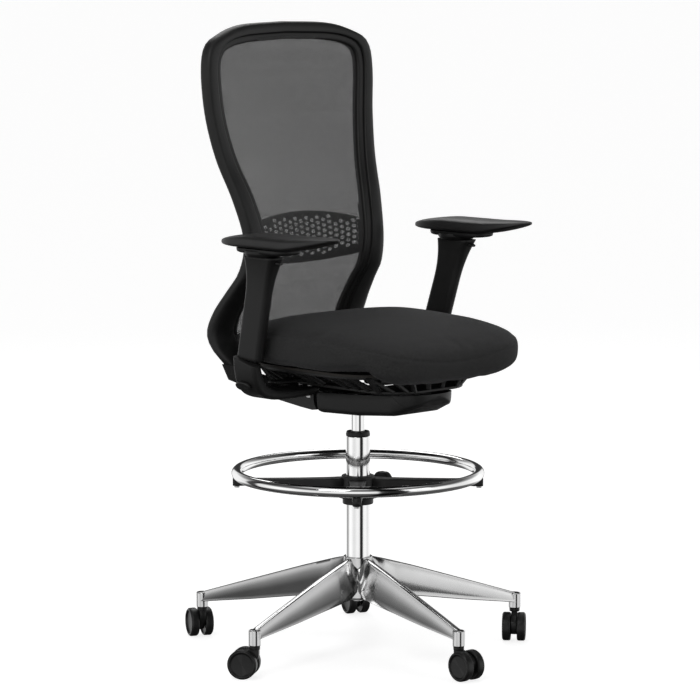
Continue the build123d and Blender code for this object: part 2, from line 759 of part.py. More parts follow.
# ---------------------------------------------------------------- lumbar support
lumbar_ahead, lumbar_behind = 50, 55
rail_clearance = 3.5
lumbar_low, lumbar_high = 794, 901
hole_columns, hole_pitch_x, hole_pitch_z = 19, 15.5, 11.5
with BuildPart() as lumbar_panel:
    with BuildSketch(view):
        with BuildLine():
            over = ThreePointArc((-lumbar_half, 877), (0, lumbar_high), (lumbar_half, 877))
            under = ThreePointArc((lumbar_half, 808), (0, lumbar_low), (-lumbar_half, 808))
            Line(over @ 1, under @ 0)
            Line(under @ 1, over @ 0)
        make_face()
        for column in range(-(hole_columns // 2), hole_columns // 2 + 1):
            x = column * hole_pitch_x
            half_rows = 3 if abs(column) < 6 else 2
            shift = hole_pitch_z / 2 if column % 2 else 0
            with Locations(*[(x, 846 + row * hole_pitch_z + shift) for row in range(-half_rows, half_rows + 1)]):
                Ellipse(5.5, 3.2, mode=Mode.SUBTRACT)
    extrude(amount=view_depth)
    add(band(lumbar_ahead, lumbar_behind), mode=Mode.INTERSECT)
keep(lumbar_panel.part, "lumbar_panel")

# Two channels on the back of the frame, in which the lumbar panel's ends slide.
rail_low, rail_high = 768, 930
channel_depth = lumbar_behind + rail_clearance + 2.5 - frame_depth
with BuildPart() as lumbar_rails:
    with BuildSketch(view):
        with Locations(*[(hand * 170, (rail_low + rail_high) / 2) for hand in (-1, 1)]):
            Rectangle(16, rail_high - rail_low)
    extrude(amount=view_depth)
    add(band(frame_depth, frame_depth + channel_depth), mode=Mode.INTERSECT)
    # The slot that the panel's ends run in, open towards the middle.
    with BuildSketch(view):
        Rectangle(2 * (lumbar_half + 1.5), 2000)
    slot = extrude(amount=view_depth, mode=Mode.PRIVATE)
    add(slot & band(lumbar_ahead - rail_clearance, lumbar_behind + rail_clearance), mode=Mode.SUBTRACT)
keep(lumbar_rails.part, "lumbar_rails")

# ---------------------------------------------------------------- carrier
# A yoke on the recline shaft that widens at the rear and takes the frame's two feet.
yoke_half = 73
arm_inner, arm_outer = 52, 66
foot_z = 595.8
block_outline = [(46, 545), (140, 548), (166, 558), (170, foot_z), (196, foot_z), (200, 562), (179, 515),
                 (95, 505), (60, 502), (46, 504)]
with BuildPart() as back_carrier:
    add(slab(block_outline, yoke_half))
    with BuildSketch(Plane.XZ.offset(-196)):
        for hand in (-1, 1):
            with BuildLine():
                Polyline((hand * 60, 514), (hand * 182, 562), (hand * 200, foot_z), (hand * 162, foot_z),
                         (hand * 146, 580), (hand * 60, 552), close=True)
            make_face()
    extrude(amount=36)
    with BuildSketch(Plane.YZ.offset(-yoke_half)):
        with Locations((recline_y, recline_z)):
            Circle(swing_gap_outer)
    extrude(amount=2 * yoke_half, mode=Mode.SUBTRACT)
    for near in (-arm_outer, arm_inner):
        with BuildSketch(Plane.YZ.offset(near)):
            with Locations((recline_y, recline_z)):
                Circle(15)
                Rectangle(60, 26, align=(Align.MIN, Align.CENTER))
                Circle(shaft_radius + fit, mode=Mode.SUBTRACT)
        extrude(amount=arm_outer - arm_inner)
keep(back_carrier.part, "back_carrier")
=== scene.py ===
"""Looks of the drafting chair: every visible piece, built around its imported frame.

Lengths are metres in the frame's own axes: +Z up, the sitter faces -Y, +X is the sitter's left.
"""

import logging
import math
from dataclasses import dataclass, field
from enum import Enum
from typing import Callable, Sequence

import bmesh
import bpy
import numpy as np
from mathutils import Matrix, Vector

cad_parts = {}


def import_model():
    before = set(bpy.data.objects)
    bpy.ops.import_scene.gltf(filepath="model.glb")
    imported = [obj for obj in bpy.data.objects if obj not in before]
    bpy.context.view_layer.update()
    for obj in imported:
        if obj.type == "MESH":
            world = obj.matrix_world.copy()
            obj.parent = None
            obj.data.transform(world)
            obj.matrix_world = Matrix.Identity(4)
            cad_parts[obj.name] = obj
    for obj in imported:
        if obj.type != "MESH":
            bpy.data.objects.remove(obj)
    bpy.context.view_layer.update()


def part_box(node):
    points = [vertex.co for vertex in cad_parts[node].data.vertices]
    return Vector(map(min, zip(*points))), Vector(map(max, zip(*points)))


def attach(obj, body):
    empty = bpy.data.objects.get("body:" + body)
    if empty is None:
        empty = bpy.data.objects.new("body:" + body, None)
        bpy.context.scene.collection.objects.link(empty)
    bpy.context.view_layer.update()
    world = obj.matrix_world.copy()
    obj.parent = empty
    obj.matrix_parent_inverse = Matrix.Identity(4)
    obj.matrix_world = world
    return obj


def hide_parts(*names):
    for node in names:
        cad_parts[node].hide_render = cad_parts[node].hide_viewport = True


LOG = logging.getLogger("drafting_chair")
MM = 0.001
Point = tuple[float, float, float]
Pair = tuple[float, float]


class Side(Enum):
    """Which of the sitter's hands a piece is on; the value is its sign along X."""

    LEFT = 1
    RIGHT = -1

    @property
    def word(self) -> str:
        """The word that node and body names end with."""
        return self.name.lower()


# ------------------------------------------------------------------ node graphs
class Graph:
    """A thin hand for making nodes and links in one node tree."""

    def __init__(self, tree: bpy.types.NodeTree) -> None:
        """Take hold of a tree and empty it."""
        self.tree = tree
        tree.nodes.clear()

    def add(self, kind: str, inputs: dict | None = None, **settings: object) -> bpy.types.Node:
        """Add one node.

        Args:
            kind: The node's type name.
            inputs: Socket name or index to a value or to another node's output.
            settings: Attributes set on the node before its inputs.

        Returns:
            The new node.
        """
        node = self.tree.nodes.new(kind)
        for name, value in settings.items():
            setattr(node, name, value)
        for key, value in (inputs or {}).items():
            socket = node.inputs[key]
            if isinstance(value, bpy.types.NodeSocket):
                self.tree.links.new(value, socket)
            else:
                socket.default_value = value
        return node

    def math(self, operation: str, *values: object) -> bpy.types.NodeSocket:
        """Add one Math node and return its output."""
        return self.add("ShaderNodeMath", dict(enumerate(values)), operation=operation).outputs[0]

    def ramp(self, factor: bpy.types.NodeSocket, stops: Sequence[tuple[float, tuple]]) -> bpy.types.NodeSocket:
        """Add a colour ramp.

        Args:
            factor: What drives the ramp.
            stops: (place, colour) for each stop, in order.

        Returns:
            The ramp's colour output.
        """
        node = self.add("ShaderNodeValToRGB", {"Fac": factor})
        elements = node.color_ramp.elements
        while len(elements) < len(stops):
            elements.new(1.0)
        for element, (place, colour) in zip(elements, stops):
            element.position = place
            element.color = colour
        return node.outputs["Color"]


def grey(value: float) -> tuple[float, float, float, float]:
    """A neutral colour of one linear value."""
    return (value, value, value, 1.0)


# ------------------------------------------------------------------ finishes
@dataclass(frozen=True)
class Finish:
    """A finish: its name, the slot it stands for, and its tone."""

    name: str
    slot: str
    tone: float
    roughness: float

    def material(self) -> bpy.types.Material:
        """Make the material once and return it from then on."""
        made = bpy.data.materials.get(self.name)
        if made is None:
            made = bpy.data.materials.new(self.name)
            made.use_nodes = True
            graph = Graph(made.node_tree)
            shader = graph.add("ShaderNodeBsdfPrincipled")
            out = graph.add("ShaderNodeOutputMaterial")
            graph.tree.links.new(shader.outputs[0], out.inputs["Surface"])
            self.dress(graph, shader, out)
        return made

    def dress(self, graph: Graph, shader: bpy.types.Node, out: bpy.types.Node) -> None:
        """Build what is special to the finish on the shader.

        Args:
            graph: The material's graph.
            shader: Its Principled shader.
            out: Its output node; not used.
        """
        raise NotImplementedError


def noise(graph: Graph, scale: float, detail: float = 3.0, vector: object = None) -> bpy.types.NodeSocket:
    """Noise on object coordinates.

    Args:
        graph: The graph to add to.
        scale: Features per metre.
        detail: Octaves.
        vector: Coordinates to use in place of the object's own.

    Returns:
        The noise value.
    """
    if vector is None:
        vector = graph.add("ShaderNodeTexCoord").outputs["Object"]
    inputs = {"Vector": vector, "Scale": scale, "Detail": detail}
    return graph.add("ShaderNodeTexNoise", inputs).outputs["Fac"]


def bump(graph: Graph, height: bpy.types.NodeSocket, depth: float, strength: float = 1.0) -> bpy.types.NodeSocket:
    """A bump of one real depth in metres from a height between 0 and 1."""
    inputs = {"Height": height, "Distance": depth, "Strength": strength}
    return graph.add("ShaderNodeBump", inputs).outputs["Normal"]


def edge_wear(graph: Graph, colour: bpy.types.NodeSocket, gain: float) -> bpy.types.NodeSocket:
    """Lighten a colour a little where the surface turns an outer edge.

    Args:
        graph: The graph to add to.
        colour: The colour of the unworn surface.
        gain: How much lighter a worn edge is.

    Returns:
        The colour with its edges worn.
    """
    point = graph.add("ShaderNodeNewGeometry").outputs["Pointiness"]
    edge = graph.math("MULTIPLY", graph.math("SUBTRACT", point, 0.53), 9.0)
    mask = graph.add("ShaderNodeClamp", {"Value": edge}).outputs[0]
    speckle = graph.math("MULTIPLY", mask, noise(graph, 240.0))
    mix = graph.add("ShaderNodeMix", data_type="RGBA")
    mix.inputs["B"].default_value = (gain, gain, gain, 1.0)
    graph.tree.links.new(speckle, mix.inputs["Factor"])
    graph.tree.links.new(colour, mix.inputs["A"])
    return mix.outputs["Result"]


@dataclass(frozen=True)
class MouldedPlastic(Finish):
    """Black moulded plastic with a fine spark-eroded grain."""

    grain: float = 1400.0
    depth: float = 0.05 * MM

    def dress(self, graph: Graph, shader: bpy.types.Node, out: bpy.types.Node) -> None:
        """Mottle the tone, grain the surface and wear the edges."""
        mottle = noise(graph, 35.0)
        colour = graph.ramp(mottle, [(0.3, grey(self.tone * 0.85)), (0.7, grey(self.tone * 1.15))])
        graph.tree.links.new(edge_wear(graph, colour, self.tone * 3.0), shader.inputs["Base Color"])
        grain = noise(graph, self.grain, 2.0)
        rough = graph.add("ShaderNodeMapRange", {"Value": mottle, "To Min": self.roughness - 0.05,
                                                 "To Max": self.roughness + 0.07})
        graph.tree.links.new(rough.outputs[0], shader.inputs["Roughness"])
        graph.tree.links.new(bump(graph, grain, self.depth), shader.inputs["Normal"])
        shader.inputs["IOR"].default_value = 1.46
        shader.inputs["Specular IOR Level"].default_value = 0.32


@dataclass(frozen=True)
class PolishedMetal(Finish):
    """Bright metal: polished casting or plated tube."""

    wave: float = 18.0
    wave_depth: float = 0.12 * MM
    scratch: float = 0.02

    def dress(self, graph: Graph, shader: bpy.types.Node, out: bpy.types.Node) -> None:
        """Give the metal faint waviness, polishing lines and handling smears."""
        where = graph.add("ShaderNodeTexCoord").outputs["Object"]
        smear = noise(graph, 22.0, 4.0)
        colour = graph.ramp(smear, [(0.25, grey(self.tone * 0.93)), (0.75, grey(self.tone))])
        stretch = graph.add("ShaderNodeMapping", {"Vector": where, "Scale": (90.0, 90.0, 900.0)})
        lines = noise(graph, 1.0, 5.0, stretch.outputs[0])
        rough = graph.math("ADD", self.roughness, graph.math("MULTIPLY", lines, self.scratch))
        rough = graph.math("ADD", rough, graph.math("MULTIPLY", smear, self.scratch))
        graph.tree.links.new(colour, shader.inputs["Base Color"])
        graph.tree.links.new(rough, shader.inputs["Roughness"])
        graph.tree.links.new(bump(graph, noise(graph, self.wave, 1.0), self.wave_depth), shader.inputs["Normal"])
        shader.inputs["Metallic"].default_value = 1.0


@dataclass(frozen=True)
class PaintedMetal(Finish):
    """Powder-coated steel with a fine orange peel."""

    def dress(self, graph: Graph, shader: bpy.types.Node, out: bpy.types.Node) -> None:
        """Vary the coat and pit it."""
        peel = noise(graph, 500.0, 2.0)
        colour = graph.ramp(noise(graph, 20.0), [(0.3, grey(self.tone * 0.9)), (0.7, grey(self.tone * 1.1))])
        graph.tree.links.new(edge_wear(graph, colour, 0.2), shader.inputs["Base Color"])
        graph.tree.links.new(bump(graph, peel, 0.06 * MM), shader.inputs["Normal"])
        shader.inputs["Roughness"].default_value = self.roughness


@dataclass(frozen=True)
class SoftSkin(Finish):
    """The matt skin of moulded soft foam."""

    def dress(self, graph: Graph, shader: bpy.types.Node, out: bpy.types.Node) -> None:
        """Pebble the skin and shine it a little where it is rubbed."""
        pebble = graph.add("ShaderNodeTexVoronoi", {"Vector": graph.add("ShaderNodeTexCoord").outputs["Object"],
                                                    "Scale": 900.0}).outputs["Distance"]
        rubbed = noise(graph, 14.0, 2.0)
        colour = graph.ramp(rubbed, [(0.3, grey(self.tone * 0.85)), (0.7, grey(self.tone * 1.2))])
        rough = graph.add("ShaderNodeMapRange", {"Value": rubbed, "To Min": self.roughness + 0.06,
                                                 "To Max": self.roughness - 0.08})
        graph.tree.links.new(colour, shader.inputs["Base Color"])
        graph.tree.links.new(rough.outputs[0], shader.inputs["Roughness"])
        graph.tree.links.new(bump(graph, pebble, 0.05 * MM), shader.inputs["Normal"])


@dataclass(frozen=True)
class Plywood(Finish):
    """Bent plywood under the cushion."""

    def dress(self, graph: Graph, shader: bpy.types.Node, out: bpy.types.Node) -> None:
        """Draw the grain along the board."""
        where = graph.add("ShaderNodeTexCoord").outputs["Object"]
        stretch = graph.add("ShaderNodeMapping", {"Vector": where, "Scale": (220.0, 12.0, 220.0)})
        grain = noise(graph, 1.0, 6.0, stretch.outputs[0])
        tint = [(0.3, (self.tone * 0.6, self.tone * 0.4, self.tone * 0.24, 1)),
                (0.7, (self.tone, self.tone * 0.72, self.tone * 0.45, 1))]
        graph.tree.links.new(graph.ramp(grain, tint), shader.inputs["Base Color"])
        graph.tree.links.new(bump(graph, grain, 0.05 * MM), shader.inputs["Normal"])
        shader.inputs["Roughness"].default_value = self.roughness


@dataclass(frozen=True)
class WovenCloth(Finish):
    """Plain-woven upholstery cloth with two tones of yarn."""

    pitch: float = 1.3 * MM
    light_yarn: float = 2.6
    depth: float = 0.25 * MM

    def weave(self, graph: Graph, along: bpy.types.NodeSocket, across: bpy.types.NodeSocket) -> bpy.types.NodeSocket:
        """The height of a plain weave.

        Args:
            graph: The graph to add to.
            along: The coordinate along the warp.
            across: The coordinate along the weft.

        Returns:
            A height between 0 and 1.
        """
        turns = 2 * math.pi / (2 * self.pitch)
        warp = graph.math("SINE", graph.math("MULTIPLY", along, turns))
        weft = graph.math("SINE", graph.math("MULTIPLY", across, turns))
        cross = graph.math("MULTIPLY", warp, weft)
        ribs = graph.math("ABSOLUTE", graph.math("SINE", graph.math("MULTIPLY", along, turns * 2)))
        both = graph.math("ADD", graph.math("MULTIPLY", cross, 0.35), graph.math("MULTIPLY", ribs, 0.3))
        return graph.math("ADD", both, 0.35)

    def dress(self, graph: Graph, shader: bpy.types.Node, out: bpy.types.Node) -> None:
        """Lay the weave on the surface from the three axes, blended by its slope."""
        where = graph.add("ShaderNodeTexCoord").outputs["Object"]
        wobble = graph.add("ShaderNodeTexNoise", {"Vector": where, "Scale": 60.0, "Detail": 2.0}).outputs["Color"]
        shift = graph.add("ShaderNodeVectorMath", {0: wobble, 1: (0.6 * MM,) * 3}, operation="MULTIPLY")
        moved = graph.add("ShaderNodeVectorMath", {0: where, 1: shift.outputs[0]}, operation="ADD")
        x, y, z = graph.add("ShaderNodeSeparateXYZ", {0: moved.outputs[0]}).outputs
        slope = graph.add("ShaderNodeSeparateXYZ", {0: graph.add("ShaderNodeNewGeometry").outputs["Normal"]}).outputs
        weights = [graph.math("POWER", graph.math("ABSOLUTE", part), 4.0) for part in slope]
        total = graph.math("ADD", graph.math("ADD", weights[0], weights[1]), weights[2])
        heights = [self.weave(graph, y, z), self.weave(graph, x, z), self.weave(graph, x, y)]
        parts = [graph.math("MULTIPLY", w, h) for w, h in zip(weights, heights)]
        height = graph.math("DIVIDE", graph.math("ADD", graph.math("ADD", parts[0], parts[1]), parts[2]), total)
        yarn = graph.math("ADD", graph.math("MULTIPLY", height, 0.55),
                          graph.math("MULTIPLY", noise(graph, 420.0, 4.0), 0.45))
        colour = graph.ramp(yarn, [(0.3, grey(self.tone * 0.5)), (0.62, grey(self.tone * self.light_yarn))])
        graph.tree.links.new(colour, shader.inputs["Base Color"])
        graph.tree.links.new(bump(graph, height, self.depth), shader.inputs["Normal"])
        shader.inputs["Roughness"].default_value = self.roughness
        shader.inputs["Sheen Weight"].default_value = 0.12
        shader.inputs["Sheen Roughness"].default_value = 0.5
        shader.inputs["Sheen Tint"].default_value = (0.5, 0.5, 0.52, 1.0)
        shader.inputs["Specular IOR Level"].default_value = 0.15


@dataclass(frozen=True)
class OpenNet(Finish):
    """Knitted net: yarns in two slanting sets with holes between them, laid out on the piece's UV map."""

    pitch: float = 1.7 * MM
    cover: float = 0.85

    def dress(self, graph: Graph, shader: bpy.types.Node, out: bpy.types.Node) -> None:
        """Cut the holes by the pattern and round the yarns with bump."""
        flat = graph.add("ShaderNodeUVMap", uv_map="net").outputs[0]
        u, v, _ = graph.add("ShaderNodeSeparateXYZ", {0: flat}).outputs
        turns = math.pi / self.pitch
        rising = graph.math("SINE", graph.math("MULTIPLY", graph.math("ADD", u, v), turns))
        falling = graph.math("SINE", graph.math("MULTIPLY", graph.math("SUBTRACT", u, v), turns))
        hole = graph.math("MULTIPLY", graph.math("ABSOLUTE", rising), graph.math("ABSOLUTE", falling))
        solid = graph.math("LESS_THAN", hole, self.cover)
        colour = graph.ramp(noise(graph, 300.0), [(0.3, grey(self.tone * 0.7)), (0.7, grey(self.tone * 1.3))])
        graph.tree.links.new(colour, shader.inputs["Base Color"])
        graph.tree.links.new(solid, shader.inputs["Alpha"])
        height = graph.math("SUBTRACT", 1.0, hole)
        graph.tree.links.new(bump(graph, height, 0.3 * MM), shader.inputs["Normal"])
        shader.inputs["Roughness"].default_value = self.roughness
        shader.inputs["Sheen Weight"].default_value = 0.2


CAST_ALUMINIUM = PolishedMetal("cast_aluminium", "polished_aluminium", 0.55, 0.09, 14.0, 0.2 * MM, 0.05)
CHROME_PLATE = PolishedMetal("chrome_plate", "chrome", 0.82, 0.05, 8.0, 0.03 * MM, 0.03)
GROUND_STEEL = PolishedMetal("ground_steel", "steel", 0.45, 0.28, 30.0, 0.02 * MM, 0.08)
FRAME_PLASTIC = MouldedPlastic("frame_plastic", "black_plastic", 0.010, 0.46)
CASTOR_PLASTIC = MouldedPlastic("castor_plastic_satin", "castor_plastic", 0.012, 0.36, 1800.0, 0.03 * MM)
HOUSING_PAINT = PaintedMetal("housing_paint", "black_steel", 0.02, 0.45)
PAD_SKIN = SoftSkin("pad_skin", "pad_foam", 0.007, 0.5)
SEAT_CLOTH = WovenCloth("seat_cloth", "seat_fabric", 0.016, 0.9)
BACK_NET = OpenNet("back_net_yarn", "back_net", 0.012, 0.75)
BOARD_WOOD = Plywood("board_veneer", "board_wood", 0.012, 0.7)


# ------------------------------------------------------------------ mesh making
def object_from(name: str, build: bmesh.types.BMesh, finish: Finish, smooth: bool = True) -> bpy.types.Object:
    """Turn a bmesh into a finished object at the origin.

    Args:
        name: The piece's name.
        build: The mesh, which is freed.
        finish: Its finish.
        smooth: Whether faces shade smoothly.

    Returns:
        The object, linked to the scene.
    """
    bmesh.ops.remove_doubles(build, verts=build.verts, dist=1e-6)
    bmesh.ops.recalc_face_normals(build, faces=build.faces)
    data = bpy.data.meshes.new(name)
    build.to_mesh(data)
    build.free()
    data.polygons.foreach_set("use_smooth", [smooth] * len(data.polygons))
    data.materials.append(finish.material())
    piece = bpy.data.objects.new(name, data)
    bpy.context.scene.collection.objects.link(piece)
    return piece


def add_skin(build: bmesh.types.BMesh, rings: Sequence[Sequence[Point]], closed: bool = True,
             caps: bool = True, loop: bool = False) -> list[list[bmesh.types.BMVert]]:
    """Skin a row of rings that have the same number of points.

    Args:
        build: The mesh to add to.
        rings: The rings' points.
        closed: Whether each ring closes on itself.
        caps: Whether the first and last rings are filled.
        loop: Whether the last ring joins the first.

    Returns:
        The rings' vertices.
    """
    rows = [[build.verts.new(p) for p in ring] for ring in rings]
    size = len(rows[0])
    pairs = list(zip(rows, rows[1:])) + ([(rows[-1], rows[0])] if loop else [])
    for low, high in pairs:
        for i in range(size if closed else size - 1):
            j = (i + 1) % size
            build.faces.new((low[i], low[j], high[j], high[i]))
    if caps and not loop:
        build.faces.new(list(reversed(rows[0])))
        build.faces.new(rows[-1])
    return rows


def rounded_rectangle(half_x: float, half_y: float, radius: float, steps: int = 6) -> list[Pair]:
    """Points round a rectangle with round corners, anticlockwise from its +x side."""
    radius = min(radius, half_x * 0.999, half_y * 0.999)
    points = []
    for corner in range(4):
        turn = corner * math.pi / 2
        centre_x = (half_x - radius) * (1 if corner in (0, 3) else -1)
        centre_y = (half_y - radius) * (1 if corner in (0, 1) else -1)
        for step in range(steps + 1):
            angle = turn + step / steps * math.pi / 2
            points.append((centre_x + radius * math.cos(angle), centre_y + radius * math.sin(angle)))
    return points


def circle(radius: float, count: int = 64) -> list[Pair]:
    """Points round a circle."""
    return [(radius * math.cos(2 * math.pi * i / count), radius * math.sin(2 * math.pi * i / count))
            for i in range(count)]


def add_turned(build: bmesh.types.BMesh, profile: Sequence[Pair], place: Matrix, count: int = 64,
               lobes: Callable[[float], float] | None = None) -> None:
    """Add a turned body.

    Args:
        build: The mesh to add to.
        profile: (radius, height) points from one end of the axis to the other.
        place: Where the axis stands: its local Z.
        count: Steps round the axis.
        lobes: Factor on the radius at an angle, for a body that isn't round.
    """
    rings = []
    for radius, height in profile:
        ring = []
        for i in range(count):
            angle = 2 * math.pi * i / count
            reach = max(radius, 1e-5) * (lobes(angle) if lobes else 1.0)
            ring.append(place @ Vector((reach * math.cos(angle), reach * math.sin(angle), height)))
        rings.append(ring)
    if tuple(profile[0]) == tuple(profile[-1]):
        add_skin(build, rings[:-1], loop=True)
    else:
        add_skin(build, rings)


def eased(profile: Sequence[Pair], radius: float, steps: int = 4) -> list[Pair]:
    """Round the inner corners of a line of points.

    Args:
        profile: The line's points; its two ends stay as they are.
        radius: The most that a corner is cut back by.
        steps: Pieces in each rounded corner.

    Returns:
        The line with its corners rounded.
    """
    out = [profile[0]]
    for before, here, after in zip(profile, profile[1:], profile[2:]):
        into, away = Vector(before) - Vector(here), Vector(after) - Vector(here)
        cut = min(radius, into.length * 0.45, away.length * 0.45)
        start = Vector(here) + into.normalized() * cut
        end = Vector(here) + away.normalized() * cut
        for i in range(steps + 1):
            t = i / steps
            point = start * (1 - t) ** 2 + Vector(here) * 2 * t * (1 - t) + end * t**2
            out.append(tuple(point))
    out.append(profile[-1])
    return out


def spline(points: Sequence[Sequence[float]], places: Sequence[float]) -> np.ndarray:
    """A smooth line through points, read at places from 0 to 1.

    Args:
        points: What the line passes through, evenly spaced in its parameter.
        places: Parameters from 0 to 1.

    Returns:
        One row for each place.
    """
    pts = np.array(points, float)
    if pts.ndim == 1:
        pts = pts[:, None]
    padded = np.vstack([2 * pts[0] - pts[1], pts, 2 * pts[-1] - pts[-2]])
    t = np.clip(np.array(places, float), 0, 1) * (len(pts) - 1)
    seg = np.minimum(t.astype(int), len(pts) - 2)
    f = (t - seg)[:, None]
    p0, p1, p2, p3 = (padded[seg + k] for k in range(4))
    return 0.5 * (2 * p1 + (p2 - p0) * f + (2 * p0 - 5 * p1 + 4 * p2 - p3) * f**2
                  + (3 * p1 - p0 - 3 * p2 + p3) * f**3)


def finish_with(piece: bpy.types.Object, bevel: float = 0.0, segments: int = 3, levels: int = 0,
                angle: float = 30.0) -> bpy.types.Object:
    """Give a piece live modifiers that soften it.

    Args:
        piece: The piece.
        bevel: Width of the edge rounding.
        segments: Steps in the rounding.
        levels: Subdivision levels.
        angle: Edges sharper than this many degrees are rounded.

    Returns:
        The piece.
    """
    if bevel:
        soft = piece.modifiers.new("edges", "BEVEL")
        soft.width, soft.segments, soft.limit_method = bevel, segments, "ANGLE"
        soft.angle_limit = math.radians(angle)
        soft.harden_normals = False
    if levels:
        smooth = piece.modifiers.new("smooth", "SUBSURF")
        smooth.levels = smooth.render_levels = levels
    return piece


def settle(piece: bpy.types.Object) -> bpy.types.Object:
    """Turn a piece's live modifiers into plain mesh."""
    seen = piece.evaluated_get(bpy.context.evaluated_depsgraph_get())
    data = bpy.data.meshes.new_from_object(seen)
    piece.modifiers.clear()
    old, piece.data = piece.data, data
    bpy.data.meshes.remove(old)
    return piece


def mount(piece: bpy.types.Object, body: str, finish: Finish, *nodes: str) -> bpy.types.Object:
    """Ride a piece on its body and hide the nodes it stands for.

    Args:
        piece: The piece, in place.
        body: The body it moves with.
        finish: Its finish; not used.
        nodes: The nodes that it replaces.

    Returns:
        The piece.
    """
    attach(piece, body)
    if nodes:
        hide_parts(*nodes)
    LOG.info("%s rides on %s, %d faces", piece.name, body, len(piece.data.polygons))
    return piece


def socket_of(tree: bpy.types.NodeTree, name: str) -> str:
    """The identifier of a tree's input, by its name."""
    return next(item.identifier for item in tree.interface.items_tree
                if item.name == name and item.in_out == "INPUT")


def grown(name: str, tree: bpy.types.NodeTree, inputs: dict[str, object], finish: Finish,
          seed_mesh: bpy.types.Mesh | None = None) -> bpy.types.Object:
    """Run a geometry tree once and keep its result as a plain mesh.

    Args:
        name: The new piece's name.
        tree: The geometry tree.
        inputs: Its named inputs' values.
        finish: The piece's finish, also given to the tree's Finish input.
        seed_mesh: The mesh that the tree starts from.

    Returns:
        The piece, with no modifier left on it.
    """
    data = seed_mesh or bpy.data.meshes.new(name)
    piece = bpy.data.objects.new(name, data)
    bpy.context.scene.collection.objects.link(piece)
    maker = piece.modifiers.new("maker", "NODES")
    maker.node_group = tree
    for label, value in {**inputs, "Finish": finish.material()}.items():
        maker[socket_of(tree, label)] = value
    bpy.context.view_layer.update()
    settle(piece)
    piece.data.materials.clear()
    piece.data.materials.append(finish.material())
    return piece


def geometry_tree(name: str, sockets: Sequence[tuple[str, str, object]]) -> tuple[Graph, bpy.types.Node, bpy.types.Node]:
    """Start a geometry tree with named inputs.

    Args:
        name: The tree's name.
        sockets: (name, socket type, default) for each input after Geometry.

    Returns:
        The graph, its input node and its output node.
    """
    tree = bpy.data.node_groups.new(name, "GeometryNodeTree")
    tree.interface.new_socket("Geometry", in_out="INPUT", socket_type="NodeSocketGeometry")
    tree.interface.new_socket("Geometry", in_out="OUTPUT", socket_type="NodeSocketGeometry")
    for label, kind, default in sockets:
        socket = tree.interface.new_socket(label, in_out="INPUT", socket_type=kind)
        if default is not None:
            socket.default_value = default
    tree.interface.new_socket("Finish", in_out="INPUT", socket_type="NodeSocketMaterial")
    graph = Graph(tree)
    return graph, graph.add("NodeGroupInput"), graph.add("NodeGroupOutput")


def close_tree(graph: Graph, start: bpy.types.Node, end: bpy.types.Node, instances: bpy.types.NodeSocket,
               weld: float = 0.0) -> None:
    """End a geometry tree in realized instances that carry the finish.

    Args:
        graph: The tree's graph.
        start: Its input node.
        end: Its output node.
        instances: What to realize.
        weld: Distance under which points are merged, or 0.
    """
    solid = graph.add("GeometryNodeRealizeInstances", {0: instances}).outputs[0]
    if weld:
        solid = graph.add("GeometryNodeMergeByDistance", {"Geometry": solid, "Distance": weld}).outputs[0]
    dressed = graph.add("GeometryNodeSetMaterial", {"Geometry": solid, "Material": start.outputs["Finish"]})
    graph.tree.links.new(dressed.outputs[0], end.inputs[0])


def screw_tree() -> bpy.types.NodeTree:
    """A tree that sets socket-head screws in a circle, heads down: the head's cap with a hexagon recess."""
    graph, start, end = geometry_tree("screws_in_a_circle", [
        ("Count", "NodeSocketInt", 4), ("Circle Radius", "NodeSocketFloat", 0.25),
        ("Head Radius", "NodeSocketFloat", 0.0055), ("Head Height", "NodeSocketFloat", 0.003),
        ("Centre", "NodeSocketVector", (0, 0, 0)), ("First Angle", "NodeSocketFloat", 0.785)])
    ring = graph.add("GeometryNodeMeshCircle", {"Vertices": start.outputs["Count"],
                                                "Radius": start.outputs["Circle Radius"]})
    turn = graph.add("ShaderNodeCombineXYZ", {"Z": start.outputs["First Angle"]})
    placed = graph.add("GeometryNodeTransform", {"Geometry": ring.outputs[0], "Rotation": turn.outputs[0],
                                                 "Translation": start.outputs["Centre"]})
    head = graph.add("GeometryNodeMeshCylinder", {"Vertices": 24, "Radius": start.outputs["Head Radius"],
                                                  "Depth": start.outputs["Head Height"]})
    face = graph.add("GeometryNodeMeshCircle", {"Vertices": 6}, fill_type="NGON")
    recess = graph.add("GeometryNodeExtrudeMesh", {"Mesh": face.outputs[0], "Offset Scale": 0.001})
    half = graph.math("MULTIPLY", start.outputs["Head Radius"], 0.5)
    size = graph.add("ShaderNodeCombineXYZ", {"X": half, "Y": half, "Z": 1.0})
    drop = graph.math("MULTIPLY", start.outputs["Head Height"], -0.55)
    lower = graph.add("ShaderNodeCombineXYZ", {"Z": drop})
    socket = graph.add("GeometryNodeTransform", {"Geometry": recess.outputs[0], "Scale": size.outputs[0],
                                                 "Translation": lower.outputs[0]})
    whole = graph.add("GeometryNodeJoinGeometry")
    graph.tree.links.new(head.outputs[0], whole.inputs[0])
    graph.tree.links.new(socket.outputs[0], whole.inputs[0])
    copies = graph.add("GeometryNodeInstanceOnPoints", {"Points": placed.outputs[0], "Instance": whole.outputs[0]})
    close_tree(graph, start, end, copies.outputs[0])
    return graph.tree


